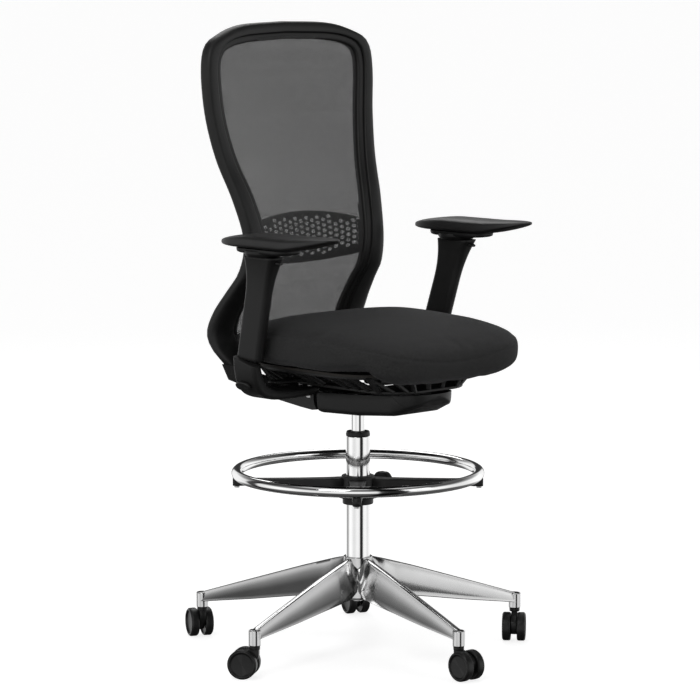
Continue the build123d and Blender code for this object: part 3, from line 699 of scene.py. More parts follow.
# ------------------------------------------------------------------ base
@dataclass
class StarBase:
    """The polished five-legged casting."""

    legs: int = 5
    first_angle: float = math.radians(45)
    reach: float = 346 * MM
    top: float = 195 * MM
    hub_radius: float = 30 * MM
    bore: float = 25.1 * MM
    boss_radius: float = 12.5 * MM
    boss_low: float = 66 * MM
    wall: float = 4 * MM
    ridge_line: Sequence[Pair] = ((0.029, 0.1945), (0.06, 0.1865), (0.12, 0.1695), (0.2, 0.1445), (0.28, 0.1195),
                                  (0.346, 0.0985))
    edge_line: Sequence[Pair] = ((0.029, 0.172), (0.045, 0.134), (0.07, 0.119), (0.14, 0.109), (0.22, 0.097),
                                 (0.30, 0.0865), (0.346, 0.080))
    half_line: Sequence[Pair] = ((0.029, 0.0211), (0.05, 0.0350), (0.09, 0.0345), (0.16, 0.0285), (0.25, 0.0215),
                                 (0.346, 0.0125))

    def across(self, radius: float, share: float) -> Pair:
        """The leg's section.

        Args:
            radius: Distance from the column's axis.
            share: -1 and 1 are the two lower edges, 0 the ridge.

        Returns:
            Sideways offset and height.
        """
        ridge = float(np.interp(radius, *zip(*self.ridge_line)))
        edge = float(np.interp(radius, *zip(*self.edge_line)))
        half = min(float(np.interp(radius, *zip(*self.half_line))), radius * math.tan(math.pi / self.legs))
        flat = 0.0065 if radius > 0.05 else 0.0065 * radius / 0.05
        reach = abs(share)
        if reach < 0.3:
            side, height = flat * reach / 0.3, ridge - 0.0004 * (reach / 0.3) ** 2
        else:
            t = (reach - 0.3) / 0.7
            side = flat + (half - flat) * (0.30 * t + 0.70 * t**1.7)
            height = ridge - 0.0004 - (ridge - edge - 0.0004) * t
        return math.copysign(side, share), height

    def build(self) -> None:
        """Make the casting: five legs that meet on their bisecting planes, walls, hub bore and castor bosses."""
        build = bmesh.new()
        shares = [-1, -0.88, -0.74, -0.6, -0.46, -0.36, -0.31, -0.26, -0.12, 0, 0.12, 0.26, 0.31, 0.36, 0.46, 0.6,
                  0.74, 0.88, 1]
        inner = [0.029, 0.031, 0.034, 0.038, 0.043, 0.05, 0.058]
        stations = inner + list(np.linspace(0.07, self.reach, 30))
        for leg in range(self.legs):
            turn = Matrix.Rotation(self.first_angle + leg * 2 * math.pi / self.legs, 4, "Z")
            rows = []
            for radius in stations:
                row = []
                for share in shares:
                    side, height = self.across(radius, share)
                    along = radius if radius > 0.05 else math.sqrt(max(radius**2 - side**2 * (0.05 - radius) / 0.05,
                                                                       1e-9))
                    row.append(turn @ Vector((along, side, height)))
                rows.append(row)
            for step in range(1, 7):
                angle = step / 6 * math.pi / 2
                row = []
                for share in shares:
                    side, height = self.across(self.reach, share)
                    reach = self.reach + math.sqrt(max(self.boss_radius**2 - side**2, 0)) * math.sin(angle)
                    fall = 0.0014 * (1 - math.cos(angle))
                    row.append(turn @ Vector((reach, side, height - fall)))
                rows.append(row)
            add_skin(build, rows, closed=False, caps=False)
        piece = object_from("base_star", build, CAST_ALUMINIUM)
        for point in piece.data.vertices:
            if point.co.z > self.top:
                point.co.z = self.top
        shell = piece.modifiers.new("wall", "SOLIDIFY")
        shell.thickness, shell.offset = self.wall, -1
        finish_with(piece, bevel=1.2 * MM, segments=2, angle=35)
        mount(piece, "base", CAST_ALUMINIUM, "base_casting")
        self.build_hub()
        self.build_bosses()

    def build_hub(self) -> None:
        """Make the hub's collar round the column."""
        build = bmesh.new()
        outer = [(self.bore, 0.112), (0.036, 0.112), (0.0335, 0.150), (0.0305, 0.186), (0.0297, 0.1962),
                 (self.bore + 0.0006, 0.1962), (self.bore, 0.1955)]
        profile = eased(outer, 1.2 * MM)
        add_turned(build, [(r, z) for r, z in profile] + [profile[0]], Matrix.Identity(4), 96)
        mount(object_from("base_hub", build, CAST_ALUMINIUM), "base", CAST_ALUMINIUM)

    def build_bosses(self) -> None:
        """Make the five bosses that hold the castor stems."""
        build = bmesh.new()
        profile = eased([(0.0059, self.boss_low + 0.0005), (self.boss_radius - 0.0006, self.boss_low),
                         (self.boss_radius, self.boss_low + 0.0012), (self.boss_radius, 0.0965),
                         (self.boss_radius - 0.0022, 0.0982), (0.0, 0.0986)], 1.0 * MM)
        for leg in range(self.legs):
            angle = self.first_angle + leg * 2 * math.pi / self.legs
            place = Matrix.Translation((self.reach * math.cos(angle), self.reach * math.sin(angle), 0))
            add_turned(build, profile, place, 48)
        mount(object_from("base_bosses", build, CAST_ALUMINIUM), "base", CAST_ALUMINIUM)


@dataclass
class Castor:
    """One twin-wheel castor, standing where its frame nodes are."""

    number: int
    wheel_radius: float = 30 * MM
    trail: float = 22 * MM

    def place(self) -> Matrix:
        """The castor's frame: origin under the stem, X along the trail, Y along the axle."""
        low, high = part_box(f"castor_{self.number}_wheel_a")
        low_b, high_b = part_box(f"castor_{self.number}_wheel_b")
        a, b = (low + high) / 2, (low_b + high_b) / 2
        axle = (a - b).normalized()
        middle = (a + b) / 2
        angle = StarBase.first_angle + (self.number - 1) * 2 * math.pi / StarBase.legs
        stem = Vector((StarBase.reach * math.cos(angle), StarBase.reach * math.sin(angle), 0))
        along = Vector((middle.x - stem.x, middle.y - stem.y, 0)).normalized()
        across = Vector((axle.x, axle.y, 0)).normalized()
        if along.cross(across).z < 0:
            across = -across
        turn = Matrix((along, across, Vector((0, 0, 1)))).transposed().to_4x4()
        return Matrix.Translation((stem.x, stem.y, 0)) @ turn

    def build(self) -> None:
        """Make both wheels and the body between them."""
        place = self.place()
        tread = eased([(0.0, 0.0205), (0.0225, 0.0205), (0.0245, 0.0240), (0.0268, 0.0243), (self.wheel_radius, 0.0215),
                       (self.wheel_radius, 0.0092), (0.0282, 0.0068), (0.0262, 0.0068), (0.0255, 0.0095),
                       (0.0100, 0.0095), (0.0085, 0.0070), (0.0035, 0.0070)], 1.6 * MM)
        for letter, flip in (("a", 1), ("b", -1)):
            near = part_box(f"castor_{self.number}_wheel_{letter}")
            local = place.inverted() @ ((near[0] + near[1]) / 2)
            hand = 1 if local.y > 0 else -1
            axis = Matrix.Translation((self.trail, 0, self.wheel_radius)) @ Matrix.Rotation(
                -hand * math.pi / 2, 4, "X")
            build = bmesh.new()
            add_turned(build, tread, place @ axis, 72)
            wheel = object_from(f"castor_{self.number}_tread_{letter}", build, CASTOR_PLASTIC)
            mount(wheel, f"castor_{self.number}_wheel_{letter}", CASTOR_PLASTIC,
                  f"castor_{self.number}_wheel_{letter}")
        self.build_body(place)

    def build_body(self, place: Matrix) -> None:
        """Make the moulded body: a web between the wheels and a neck round the stem.

        Args:
            place: The castor's frame.
        """
        build = bmesh.new()
        outline = eased([(-0.0088, 0.0600), (0.0088, 0.0600), (0.0300, 0.0530), (0.0440, 0.0420), (0.0425, 0.0260),
                         (0.0300, 0.0135), (0.0140, 0.0135), (0.0000, 0.0270), (-0.0088, 0.0440), (-0.0088, 0.0600)],
                        6 * MM)
        half = 6.2 * MM
        rings = [[place @ Vector((x, y, z)) for x, z in outline[:-1]] for y in (-half, half)]
        add_skin(build, rings)
        body = object_from(f"castor_{self.number}_body", build, CASTOR_PLASTIC)
        finish_with(body, bevel=1.2 * MM, segments=2, angle=40)
        mount(body, f"castor_{self.number}", CASTOR_PLASTIC, f"castor_{self.number}_fork")
        neck = bmesh.new()
        profile = eased([(0.0057, 0.0578), (0.0106, 0.0585), (0.0110, 0.0640), (0.0100, 0.0655), (0.0057, 0.0655)],
                        0.8 * MM)
        add_turned(neck, profile + [profile[0]], place, 40)
        collar = object_from(f"castor_{self.number}_collar", neck, CASTOR_PLASTIC)
        mount(collar, f"castor_{self.number}", CASTOR_PLASTIC)


# ------------------------------------------------------------------ column and foot ring
@dataclass
class Column:
    """The chrome column, its bushing and the gas lift tube."""

    radius: float = 25 * MM
    top: float = 448 * MM
    gas_radius: float = 14 * MM

    def build(self) -> None:
        """Make the tube, the bushing's collar and the gas lift tube as turned pieces."""
        tube = bmesh.new()
        line = eased([(0.0229, 0.107), (0.0244, 0.107), (self.radius, 0.112), (self.radius, self.top - 0.0016),
                      (self.radius - 0.0008, self.top - 0.0002), (0.0229, self.top - 0.0002)], 0.8 * MM)
        add_turned(tube, line + [line[0]], Matrix.Identity(4), 128)
        mount(object_from("column_shell", tube, CHROME_PLATE), "base", CHROME_PLATE, "column_tube")
        ring = bmesh.new()
        line = eased([(0.01406, 0.30), (0.0228, 0.30), (0.0228, self.top), (0.0249, self.top), (0.0249, 0.4525),
                      (0.0236, 0.4575), (0.0160, 0.4580), (0.01406, 0.4570)], 1.2 * MM)
        add_turned(ring, line + [line[0]], Matrix.Identity(4), 96)
        mount(object_from("column_collar", ring, FRAME_PLASTIC), "base", FRAME_PLASTIC, "column_bushing")
        gas = bmesh.new()
        line = eased([(0.0, 0.118), (0.0132, 0.118), (self.gas_radius, 0.1195), (self.gas_radius, 0.502),
                      (0.0128, 0.5145), (0.0031, 0.5150), (0.0031, 0.506), (0.0, 0.506)], 0.8 * MM)
        add_turned(gas, line, Matrix.Identity(4), 96)
        mount(object_from("gas_lift_tube", gas, CHROME_PLATE), "chassis", CHROME_PLATE, "pressure_tube")


@dataclass
class FootRing:
    """The chrome ring, the four-spoke spider that carries it, and its clamp."""

    radius: float = 250 * MM
    tube: float = 11 * MM
    height: float = 371 * MM
    spoke_top: float = 359.6 * MM
    spoke_low: float = 342 * MM
    first_angle: float = math.radians(45)

    def build(self) -> None:
        """Make the ring, the spider, its screws and the knob."""
        ring = bmesh.new()
        sections = []
        for i in range(192):
            turn = Matrix.Rotation(2 * math.pi * i / 192, 4, "Z")
            sections.append([turn @ Vector((self.radius + x, 0, self.height + z)) for x, z in circle(self.tube, 36)])
        add_skin(ring, sections, loop=True)
        mount(object_from("foot_ring", ring, CHROME_PLATE), "footring", CHROME_PLATE, "footring_tube")
        self.build_spider()
        tree = screw_tree()
        screws = grown("foot_ring_screws", tree, {
            "Count": 4, "Circle Radius": self.radius, "Head Radius": 5.5 * MM, "Head Height": 3 * MM,
            "Centre": (0, 0, self.spoke_low - 1.5 * MM), "First Angle": self.first_angle}, GROUND_STEEL)
        mount(screws, "footring", GROUND_STEEL, "footring_screws")
        self.build_knob()

    def build_spider(self) -> None:
        """Make the spokes, with a ridge along each and a cradle at its end, and the hub with its flange."""
        build = bmesh.new()
        for spoke in range(4):
            turn = Matrix.Rotation(self.first_angle + spoke * math.pi / 2, 4, "Z")
            rings = []
            for reach, half, top, low in ((0.030, 0.0195, 0.3600, 0.3330), (0.060, 0.0165, 0.3590, 0.3385),
                                          (0.120, 0.0135, 0.3582, 0.3425), (0.190, 0.0105, 0.3580, 0.3435),
                                          (0.232, 0.0090, 0.3584, 0.3432), (0.2400, 0.0090, 0.3596, 0.3428),
                                          (0.2520, 0.0090, 0.3597, 0.3424), (0.2585, 0.0086, 0.3597, 0.3432)):
                ring = rounded_rectangle(half, (top - low) / 2, 3.2 * MM, 4)
                rings.append([turn @ Vector((reach, y, (top + low) / 2 + z)) for y, z in ring])
            add_skin(build, rings)
        hub = eased([(0.02806, 0.3062), (0.0318, 0.3062), (0.0320, 0.3195), (0.0440, 0.3205), (0.0444, 0.3260),
                     (0.0350, 0.3275), (0.0350, 0.3600), (0.0335, 0.3655), (0.02806, 0.3655)], 1.4 * MM)
        add_turned(build, hub + [hub[0]], Matrix.Identity(4), 96)
        piece = object_from("foot_ring_spider", build, FRAME_PLASTIC)
        mount(piece, "footring", FRAME_PLASTIC, "footring_spider")

    def build_knob(self) -> None:
        """Make the lobed clamp knob and its shank."""
        build = bmesh.new()
        place = Matrix.Translation((0, 0, 338 * MM)) @ Matrix.Rotation(math.pi / 2, 4, "Y")
        grip = eased([(0.004, 0.0343), (0.004, 0.0560), (0.0120, 0.0575), (0.0135, 0.0620), (0.0262, 0.0640),
                      (0.0275, 0.0680), (0.0270, 0.0800), (0.0225, 0.0838), (0.0, 0.0842)], 2.2 * MM)

        def lobed(angle: float) -> float:
            """The radius factor of the eight-lobed grip."""
            return 1.0 - 0.045 * (0.5 + 0.5 * math.cos(8 * angle)) ** 2

        add_turned(build, grip, place, 144, lobed)
        mount(object_from("clamp_grip", build, FRAME_PLASTIC), "clamp_knob", FRAME_PLASTIC, "clamp_knob")


# ------------------------------------------------------------------ mechanism and seat pan
@dataclass
class Mechanism:
    """The two shells of the tilt mechanism; what shows inside them keeps its imported shape."""

    half: float = 75 * MM
    pivot: Pair = (15 * MM, 530 * MM)
    rear_radius: float = 40 * MM
    wall: float = 2.6 * MM
    seam_y: float = -172.5 * MM
    seam_top: float = 554 * MM
    seam_slope: float = 1.36
    round_y: float = -176 * MM
    tip_y: float = -232 * MM
    bottom: Sequence[Pair] = ((-0.232, 0.5535), (-0.2285, 0.5440), (-0.219, 0.5335), (-0.205, 0.5262),
                              (-0.168, 0.5110), (-0.060, 0.5010), (0.045, 0.4970))
    top: Sequence[Pair] = ((-0.232, 0.5575), (-0.171, 0.5540), (-0.060, 0.5460), (0.045, 0.5410))

    def section(self, y: float, half: float) -> list[Point]:
        """The shell's open section, from the left rim under the floor to the right rim.

        Args:
            y: Where the section is.
            half: Half its width at the rim.

        Returns:
            The section's points.
        """
        low = float(np.interp(y, *zip(*self.bottom)))
        high = float(np.interp(y, *zip(*self.top)))
        tall = max(high - low, 1e-4)
        line = eased([(-half, high), (-half * 0.985, high - tall * 0.5), (-half * 0.955, low + tall * 0.12),
                      (-half * 0.80, low), (half * 0.80, low), (half * 0.955, low + tall * 0.12),
                      (half * 0.985, high - tall * 0.5), (half, high)], 9 * MM, 4)
        return [(x, y, z) for x, z in line]

    def nose_row(self, share: float) -> list[Point]:
        """One section of the front shell, which starts on a slanting seam and ends upright at its tip.

        Args:
            share: 0 on the seam, 1 at the tip.

        Returns:
            The section's points.
        """
        start = self.seam_y + (self.tip_y - self.seam_y) * share
        base = self.section(start, self.half)
        row = []
        for i, (_, y, z) in enumerate(base):
            for _ in range(8):
                ahead = (self.seam_top - z) * self.seam_slope * (1 - share)
                y = max(0.5 * (y + start - ahead), self.tip_y)
                round_off = max(1 - (max(self.round_y - y, 0) / (self.round_y - self.tip_y)) ** 2, 0.0)
                point = self.section(y, self.half * math.sqrt(round_off) + 1e-5)[i]
                z = point[2]
            row.append(point)
        return row

    def build(self) -> None:
        """Make both shells."""
        build = bmesh.new()
        rows = []
        for y in np.linspace(-0.171, 0.045, 28):
            row = self.section(float(y), self.half)
            if y > 0.02:
                reach = self.rear_radius**2
                row = [(x, min(v, self.pivot[0] + math.sqrt(reach - (z - self.pivot[1]) ** 2)), z)
                       for x, v, z in row]
            rows.append(row)
        seam = [(x, y + 0.8 * MM, z) for x, y, z in self.nose_row(0.0)]
        add_skin(build, [seam] + rows, closed=False, caps=False)
        cover = object_from("mechanism_shell", build, FRAME_PLASTIC)
        self.thicken(cover, -1)
        mount(cover, "chassis", FRAME_PLASTIC, "mechanism_cover")
        build = bmesh.new()
        rows = []
        for share in np.linspace(0, 1, 26):
            rows.append(self.nose_row(float(share)))
        add_skin(build, rows, closed=False, caps=False)
        nose = object_from("mechanism_front", build, FRAME_PLASTIC)
        self.thicken(nose, 1)
        mount(nose, "chassis", FRAME_PLASTIC, "mechanism_nose")

    def thicken(self, shell: bpy.types.Object, side: int) -> None:
        """Give a shell its wall, inwards, and soften its rims.

        Args:
            shell: The open shell.
            side: The way that its faces point inwards; not used.
        """
        middle = Vector((0, sum(v.co.y for v in shell.data.vertices) / len(shell.data.vertices), 0.56))
        outward = sum((f.center - middle).dot(f.normal) for f in shell.data.polygons)
        wall = shell.modifiers.new("wall", "SOLIDIFY")
        wall.thickness = self.wall
        wall.offset = -1 if outward > 0 else 1
        finish_with(shell, bevel=0.8 * MM, segments=2, angle=50)


def strut_tree() -> bpy.types.NodeTree:
    """A tree that turns each loose edge of its mesh into a bar of rounded section."""
    graph, start, end = geometry_tree("bars_on_edges", [
        ("Bar Width", "NodeSocketFloat", 0.007), ("Bar Depth", "NodeSocketFloat", 0.010),
        ("Corner", "NodeSocketFloat", 0.002)])
    lines = graph.add("GeometryNodeMeshToCurve", {"Mesh": start.outputs["Geometry"]})
    section = graph.add("GeometryNodeCurvePrimitiveQuadrilateral", {"Width": start.outputs["Bar Depth"],
                                                                    "Height": start.outputs["Bar Width"]})
    soft = graph.add("GeometryNodeFilletCurve", {"Curve": section.outputs[0], "Radius": start.outputs["Corner"],
                                                 "Count": 3}, mode="POLY")
    bars = graph.add("GeometryNodeCurveToMesh", {"Curve": lines.outputs[0], "Profile Curve": soft.outputs[0],
                                                 "Fill Caps": True})
    close_tree(graph, start, end, bars.outputs[0])
    return graph.tree


@dataclass
class SeatPan:
    """The skeletal pan: tray, slanted struts, and the deck ring that carries the cushion board."""

    tray_half: float = 120 * MM
    tray_open: float = 84 * MM
    tray_front: float = -228 * MM
    tray_rear: float = 150 * MM
    tray_low: float = 562 * MM
    tray_high: float = 568 * MM
    deck_half: float = 200 * MM
    deck_front: float = -236 * MM
    deck_low: float = 597 * MM
    deck_high: float = 604 * MM
    pivot: Pair = (-150 * MM, 545 * MM)
    side_struts: Sequence[Pair] = ((-0.176, -0.200), (-0.150, -0.166), (-0.122, -0.132), (-0.092, -0.096),
                                   (-0.020, -0.034), (0.006, 0.010), (0.092, 0.098), (0.118, 0.132), (0.140, 0.112))

    def frame_ring(self, outer: Sequence[Pair], inner: Sequence[Pair], low: float, high: float,
                   centre: Pair, inner_centre: Pair) -> bmesh.types.BMesh:
        """A flat ring between two outlines with the same number of points.

        Args:
            outer: The outer outline.
            inner: The inner outline.
            low: Its underside.
            high: Its top.
            centre: Where the outer outline's centre goes.
            inner_centre: Where the inner outline's centre goes.

        Returns:
            The ring's mesh.
        """
        build = bmesh.new()
        out_pts = [(x + centre[0], y + centre[1]) for x, y in outer]
        in_pts = [(x + inner_centre[0], y + inner_centre[1]) for x, y in inner]
        rings = [[(x, y, high) for x, y in out_pts], [(x, y, high) for x, y in in_pts],
                 [(x, y, low) for x, y in in_pts], [(x, y, low) for x, y in out_pts]]
        add_skin(build, rings, loop=True)
        return build

    def build(self) -> None:
        """Make the tray, the deck, the struts between them, the lugs and the lever bearings."""
        depth, middle = self.tray_rear - self.tray_front, (self.tray_rear + self.tray_front) / 2
        tray = self.frame_ring(rounded_rectangle(self.tray_half, depth / 2, 78 * MM, 8),
                               rounded_rectangle(self.tray_open, 0.124, 10 * MM, 8),
                               self.tray_low, self.tray_high, (0, middle), (0, -0.001))
        piece = finish_with(object_from("seat_pan_tray", tray, FRAME_PLASTIC), bevel=1.4 * MM, segments=2)
        mount(piece, "seat", FRAME_PLASTIC, "seat_pan")
        depth, middle = self.tray_rear - self.deck_front, (self.tray_rear + self.deck_front) / 2
        deck = self.frame_ring(rounded_rectangle(self.deck_half, depth / 2, 125 * MM, 10),
                               rounded_rectangle(self.deck_half - 26 * MM, depth / 2 - 26 * MM, 99 * MM, 10),
                               self.deck_low, self.deck_high, (0, middle), (0, middle))
        piece = finish_with(object_from("seat_pan_deck", deck, FRAME_PLASTIC), bevel=1.4 * MM, segments=2)
        mount(piece, "seat", FRAME_PLASTIC)
        lines = self.strut_lines()
        seed = bpy.data.meshes.new("strut_lines")
        seed.from_pydata([p for line in lines for p in line], [(2 * i, 2 * i + 1) for i in range(len(lines))], [])
        struts = grown("seat_pan_struts", strut_tree(), {"Bar Width": 7 * MM, "Bar Depth": 11 * MM,
                                                         "Corner": 1.6 * MM}, FRAME_PLASTIC, seed)
        mount(struts, "seat", FRAME_PLASTIC)
        self.build_lugs()

    def strut_lines(self) -> list[tuple[Point, Point]]:
        """The two ends of each strut, from the tray up to the deck."""
        lines = []
        low, high = self.tray_low + 4 * MM, self.deck_low + 3 * MM
        for hand in (-1, 1):
            for y_low, y_high in self.side_struts:
                reach = self.deck_half - 13 * MM - max(abs(y_high + 0.045) - 0.1, 0) * 0.35
                lines.append(((hand * (self.tray_half - 6 * MM), y_low, low), (hand * reach, y_high, high)))
            for angle in (20, 42, 64):
                turn = math.radians(angle)
                corner_low = (hand * (0.042 + 0.072 * math.cos(turn)), -0.150 - 0.072 * math.sin(turn), low)
                corner_high = (hand * (0.075 + 0.112 * math.cos(turn)), -0.111 - 0.112 * math.sin(turn), high)
                lines.append((corner_low, corner_high))
        for x in (-0.06, -0.02, 0.02, 0.06):
            lines.append(((x, self.tray_front + 6 * MM, low), (x * 1.25, self.deck_front + 10 * MM, high)))
        return lines

    def build_lugs(self) -> None:
        """Make the two hinge lugs on the front shaft and the four bearings of the levers."""
        build = bmesh.new()
        y, z = self.pivot
        for x in (-0.038, 0.030):
            outline = [(y + 0.010 * math.cos(a), z + 0.010 * math.sin(a))
                       for a in np.linspace(-math.pi, 0, 17)]
            outline += [(y + 0.010, self.tray_low + 1 * MM), (y - 0.010, self.tray_low + 1 * MM)]
            add_skin(build, [[(x + s, p, q) for p, q in outline] for s in (0, 0.008)])
        for x in (-0.118, 0.118):
            for near in (0.020, 0.060):
                outline = [(x + 0.007 * math.cos(a), 0.574 + 0.007 * math.sin(a)) for a in np.linspace(0, math.pi, 13)]
                outline += [(x - 0.007, self.tray_high - 1 * MM), (x + 0.007, self.tray_high - 1 * MM)]
                add_skin(build, [[(p, near + s, q) for p, q in outline] for s in (0, 0.006)])
        piece = finish_with(object_from("seat_pan_lugs", build, FRAME_PLASTIC), bevel=0.8 * MM, segments=2)
        mount(piece, "seat", FRAME_PLASTIC)


@dataclass
class Lever:
    """A paddle under the seat on one side."""

    name: str
    side: Side
    pivot_x: float = 118 * MM
    height: float = 574 * MM
    near: float = 28 * MM
    far: float = 58 * MM
    tip: float = 205 * MM

    def build(self) -> None:
        """Make the paddle, dished on top, with its knuckle and pin."""
        build = bmesh.new()
        hand = self.side.value
        rings = []
        middle, half = (self.near + self.far) / 2, (self.far - self.near) / 2
        for share in np.linspace(0, 1, 14):
            x = self.pivot_x + (self.tip - self.pivot_x) * float(share)
            wide = half * (0.94 - 0.10 * math.sin(math.pi * share) - 0.35 * max(share - 0.86, 0) / 0.14)
            tall = (4.6 - 1.4 * share - 1.6 * max(share - 0.9, 0) / 0.1) * MM
            drop = 1.5 * MM * math.sin(math.pi * share)
            ring = rounded_rectangle(wide, tall, 3 * MM, 4)
            rings.append([(hand * x, middle + u, self.height - 0.5 * MM - drop + v) for u, v in ring])
        add_skin(build, rings)
        pin = Matrix.Translation((hand * self.pivot_x, 0, self.height)) @ Matrix.Rotation(-math.pi / 2, 4, "X")
        add_turned(build, eased([(0.0, self.near), (0.005, self.near), (0.005, self.far), (0.0, self.far)],
                                0.8 * MM), pin, 32)
        add_turned(build, [(0.0, 0.0201), (0.0025, 0.0201), (0.0025, 0.0659), (0.0, 0.0659)], pin, 20)
        piece = object_from(f"{self.name}_paddle", build, FRAME_PLASTIC)
        mount(piece, self.name, FRAME_PLASTIC, self.name)


# ------------------------------------------------------------------ cushion
@dataclass
class Cushion:
    """The upholstered seat: crowned, rolled down at the front, with one seam round its sides."""

    half: float = 244 * MM
    front: float = -298 * MM
    rear: float = 166 * MM
    corner: float = 150 * MM
    bottom: float = 610 * MM
    voxel: float = 6 * MM
    frames: int = 20
    ease_passes: int = 7
    most_move: float = 3.5 * MM
    crown: Sequence[Pair] = ((-0.300, 0.654), (-0.285, 0.664), (-0.25, 0.675), (-0.20, 0.6850), (-0.13, 0.6935),
                             (-0.05, 0.698), (0.04, 0.701), (0.11, 0.696), (0.15, 0.686), (0.17, 0.676))
    belly: Sequence[Pair] = ((-0.300, 0.590), (-0.285, 0.579), (-0.262, 0.5785), (-0.247, 0.586), (-0.238, 0.6105),
                             (0.17, 0.6105))
    girth: Sequence[Pair] = ((-0.300, 0.640), (-0.25, 0.644), (-0.15, 0.649), (0.0, 0.652), (0.17, 0.646))

    def outline(self, angle: float) -> Pair:
        """The plan outline in one direction from the middle.

        Args:
            angle: The direction.

        Returns:
            The outline's point.
        """
        depth = (self.rear - self.front) / 2
        c, s = math.cos(angle), math.sin(angle)
        power = 4.1
        reach = (abs(c / self.half) ** power + abs(s / depth) ** power) ** (-1 / power)
        return reach * c, (self.rear + self.front) / 2 + reach * s

    def raw(self) -> bpy.types.Object:
        """The cushion's form before its cover is drawn tight."""
        build = bmesh.new()
        count = 120
        rows = []
        profile = [(math.sin(t), math.cos(t)) for t in np.linspace(0.02, math.pi - 0.02, 34)]
        for swing, lift in profile:
            ring = []
            share = abs(swing) ** (0.42 if lift > 0 else 0.34)
            for i in range(count):
                edge_x, edge_y = self.outline(2 * math.pi * i / count)
                middle_y = (self.rear + self.front) / 2
                x, y = edge_x * share, middle_y + (edge_y - middle_y) * share
                mid = float(np.interp(y, *zip(*self.girth)))
                end = float(np.interp(y, *zip(*(self.crown if lift > 0 else self.belly))))
                if lift < 0:
                    end += 20 * MM * abs(x / self.half) ** 3 * min(max((-0.12 - y) / 0.12, 0.0), 1.0)
                swell = abs(lift) ** (0.72 if lift > 0 else 0.36)
                crown = 1 - 0.10 * (x / self.half) ** 2 if lift > 0 else 1
                ring.append((x, y, mid + (end - mid) * swell * crown))
            rows.append(ring)
        add_skin(build, rows)
        return object_from("seat_cushion_cover", build, SEAT_CLOTH)

    def build(self) -> None:
        """Make the cover, inflate it against its cloth, press its seam in and stitch it."""
        piece = self.raw()
        remesh = piece.modifiers.new("remesh", "REMESH")
        remesh.mode, remesh.voxel_size = "VOXEL", self.voxel
        settle(piece)
        self.inflate(piece)
        ease = piece.modifiers.new("ease", "SMOOTH")
        ease.factor, ease.iterations = 0.5, self.ease_passes
        finish_with(piece, levels=1)
        settle(piece)
        self.press_seam(piece)
        for face in piece.data.polygons:
            face.use_smooth = True
        piece.data.materials.clear()
        piece.data.materials.append(SEAT_CLOTH.material())
        mount(piece, "seat", SEAT_CLOTH, "seat_cushion")
        self.stitch(piece)

    def inflate(self, piece: bpy.types.Object) -> None:
        """Run the cover as cloth under a little pressure, and keep each point near where it was.

        Args:
            piece: The cover.
        """
        start = np.array([v.co for v in piece.data.vertices])
        cloth = piece.modifiers.new("cloth", "CLOTH")
        settings = cloth.settings
        settings.use_pressure = True
        settings.uniform_pressure_force = 4.0
        settings.tension_stiffness = settings.compression_stiffness = 18.0
        settings.bending_stiffness = 4.0
        settings.effector_weights.gravity = 0.0
        cloth.point_cache.frame_start, cloth.point_cache.frame_end = 1, self.frames
        scene = bpy.context.scene
        for step in range(1, self.frames + 1):
            scene.frame_set(step)
        settle(piece)
        end = np.array([v.co for v in piece.data.vertices])
        move = end - start
        length = np.linalg.norm(move, axis=1, keepdims=True)
        move *= np.minimum(1.0, self.most_move / np.maximum(length, 1e-9))
        floor = np.where(start[:, 1] > -0.236, 0.6094, 0.580)
        placed = start + move
        placed[:, 2] = np.maximum(placed[:, 2], floor)
        piece.data.vertices.foreach_set("co", placed.ravel())
        scene.frame_set(1)

    def seam_height(self, x: float, y: float) -> float:
        """The seam's height at a place on the side.

        Args:
            x: Sideways place.
            y: Place from front to rear.

        Returns:
            The height.
        """
        ahead = min(max((-y - 0.09) / 0.19, 0.0), 1.0)
        side = min(abs(x) / self.half, 1.0)
        low = 0.629 + 0.038 * side**1.7
        return 0.674 + (low - 0.674) * ahead

    def press_seam(self, piece: bpy.types.Object) -> None:
        """Press a narrow groove along the seam.

        Args:
            piece: The cover.
        """
        middle_y = (self.rear + self.front) / 2
        count = len(piece.data.vertices)
        places, normals = np.empty(count * 3), np.empty(count * 3)
        piece.data.vertices.foreach_get("co", places)
        piece.data.vertex_normals.foreach_get("vector", normals)
        places, normals = places.reshape(-1, 3), normals.reshape(-1, 3)
        for i, (x, y, z) in enumerate(places):
            edge_x, edge_y = self.outline(math.atan2(y - middle_y, x))
            share = math.hypot(x, y - middle_y) / math.hypot(edge_x, edge_y - middle_y)
            if share > 0.8:
                gap = (z - self.seam_height(x, y)) / (2.6 * MM)
                places[i] -= normals[i] * 1.5 * MM * math.exp(-gap * gap)
        piece.data.vertices.foreach_set("co", places.ravel())
        piece.data.update()

    def seam_points(self, piece: bpy.types.Object, above: float) -> list[Vector]:
        """Points on the cover along a line beside the seam.

        Args:
            piece: The cover.
            above: How far over the seam the line runs.

        Returns:
            The points, in order round the cushion.
        """
        middle_y = (self.rear + self.front) / 2
        points = []
        for i in range(720):
            edge_x, edge_y = self.outline(2 * math.pi * i / 720)
            height = self.seam_height(edge_x, edge_y) + above
            start = Vector((edge_x * 1.2, middle_y + (edge_y - middle_y) * 1.2, height))
            hit, where, _, _ = piece.ray_cast(start, (Vector((0, middle_y, height)) - start).normalized())
            if hit:
                points.append(where)
        return points

    def stitch(self, piece: bpy.types.Object) -> None:
        """Sew a row of stitches above the seam.

        Args:
            piece: The cover.
        """
        points = self.seam_points(piece, 3.6 * MM)
        seed = bpy.data.meshes.new("stitch_line")
        seed.from_pydata(points, [(i, (i + 1) % len(points)) for i in range(len(points))], [])
        stitches = grown("seat_cushion_stitches", stitch_tree(), {"Pitch": 5.2 * MM, "Length": 3.6 * MM,
                                                                  "Thread": 0.45 * MM}, SEAT_CLOTH, seed)
        mount(stitches, "seat", SEAT_CLOTH)


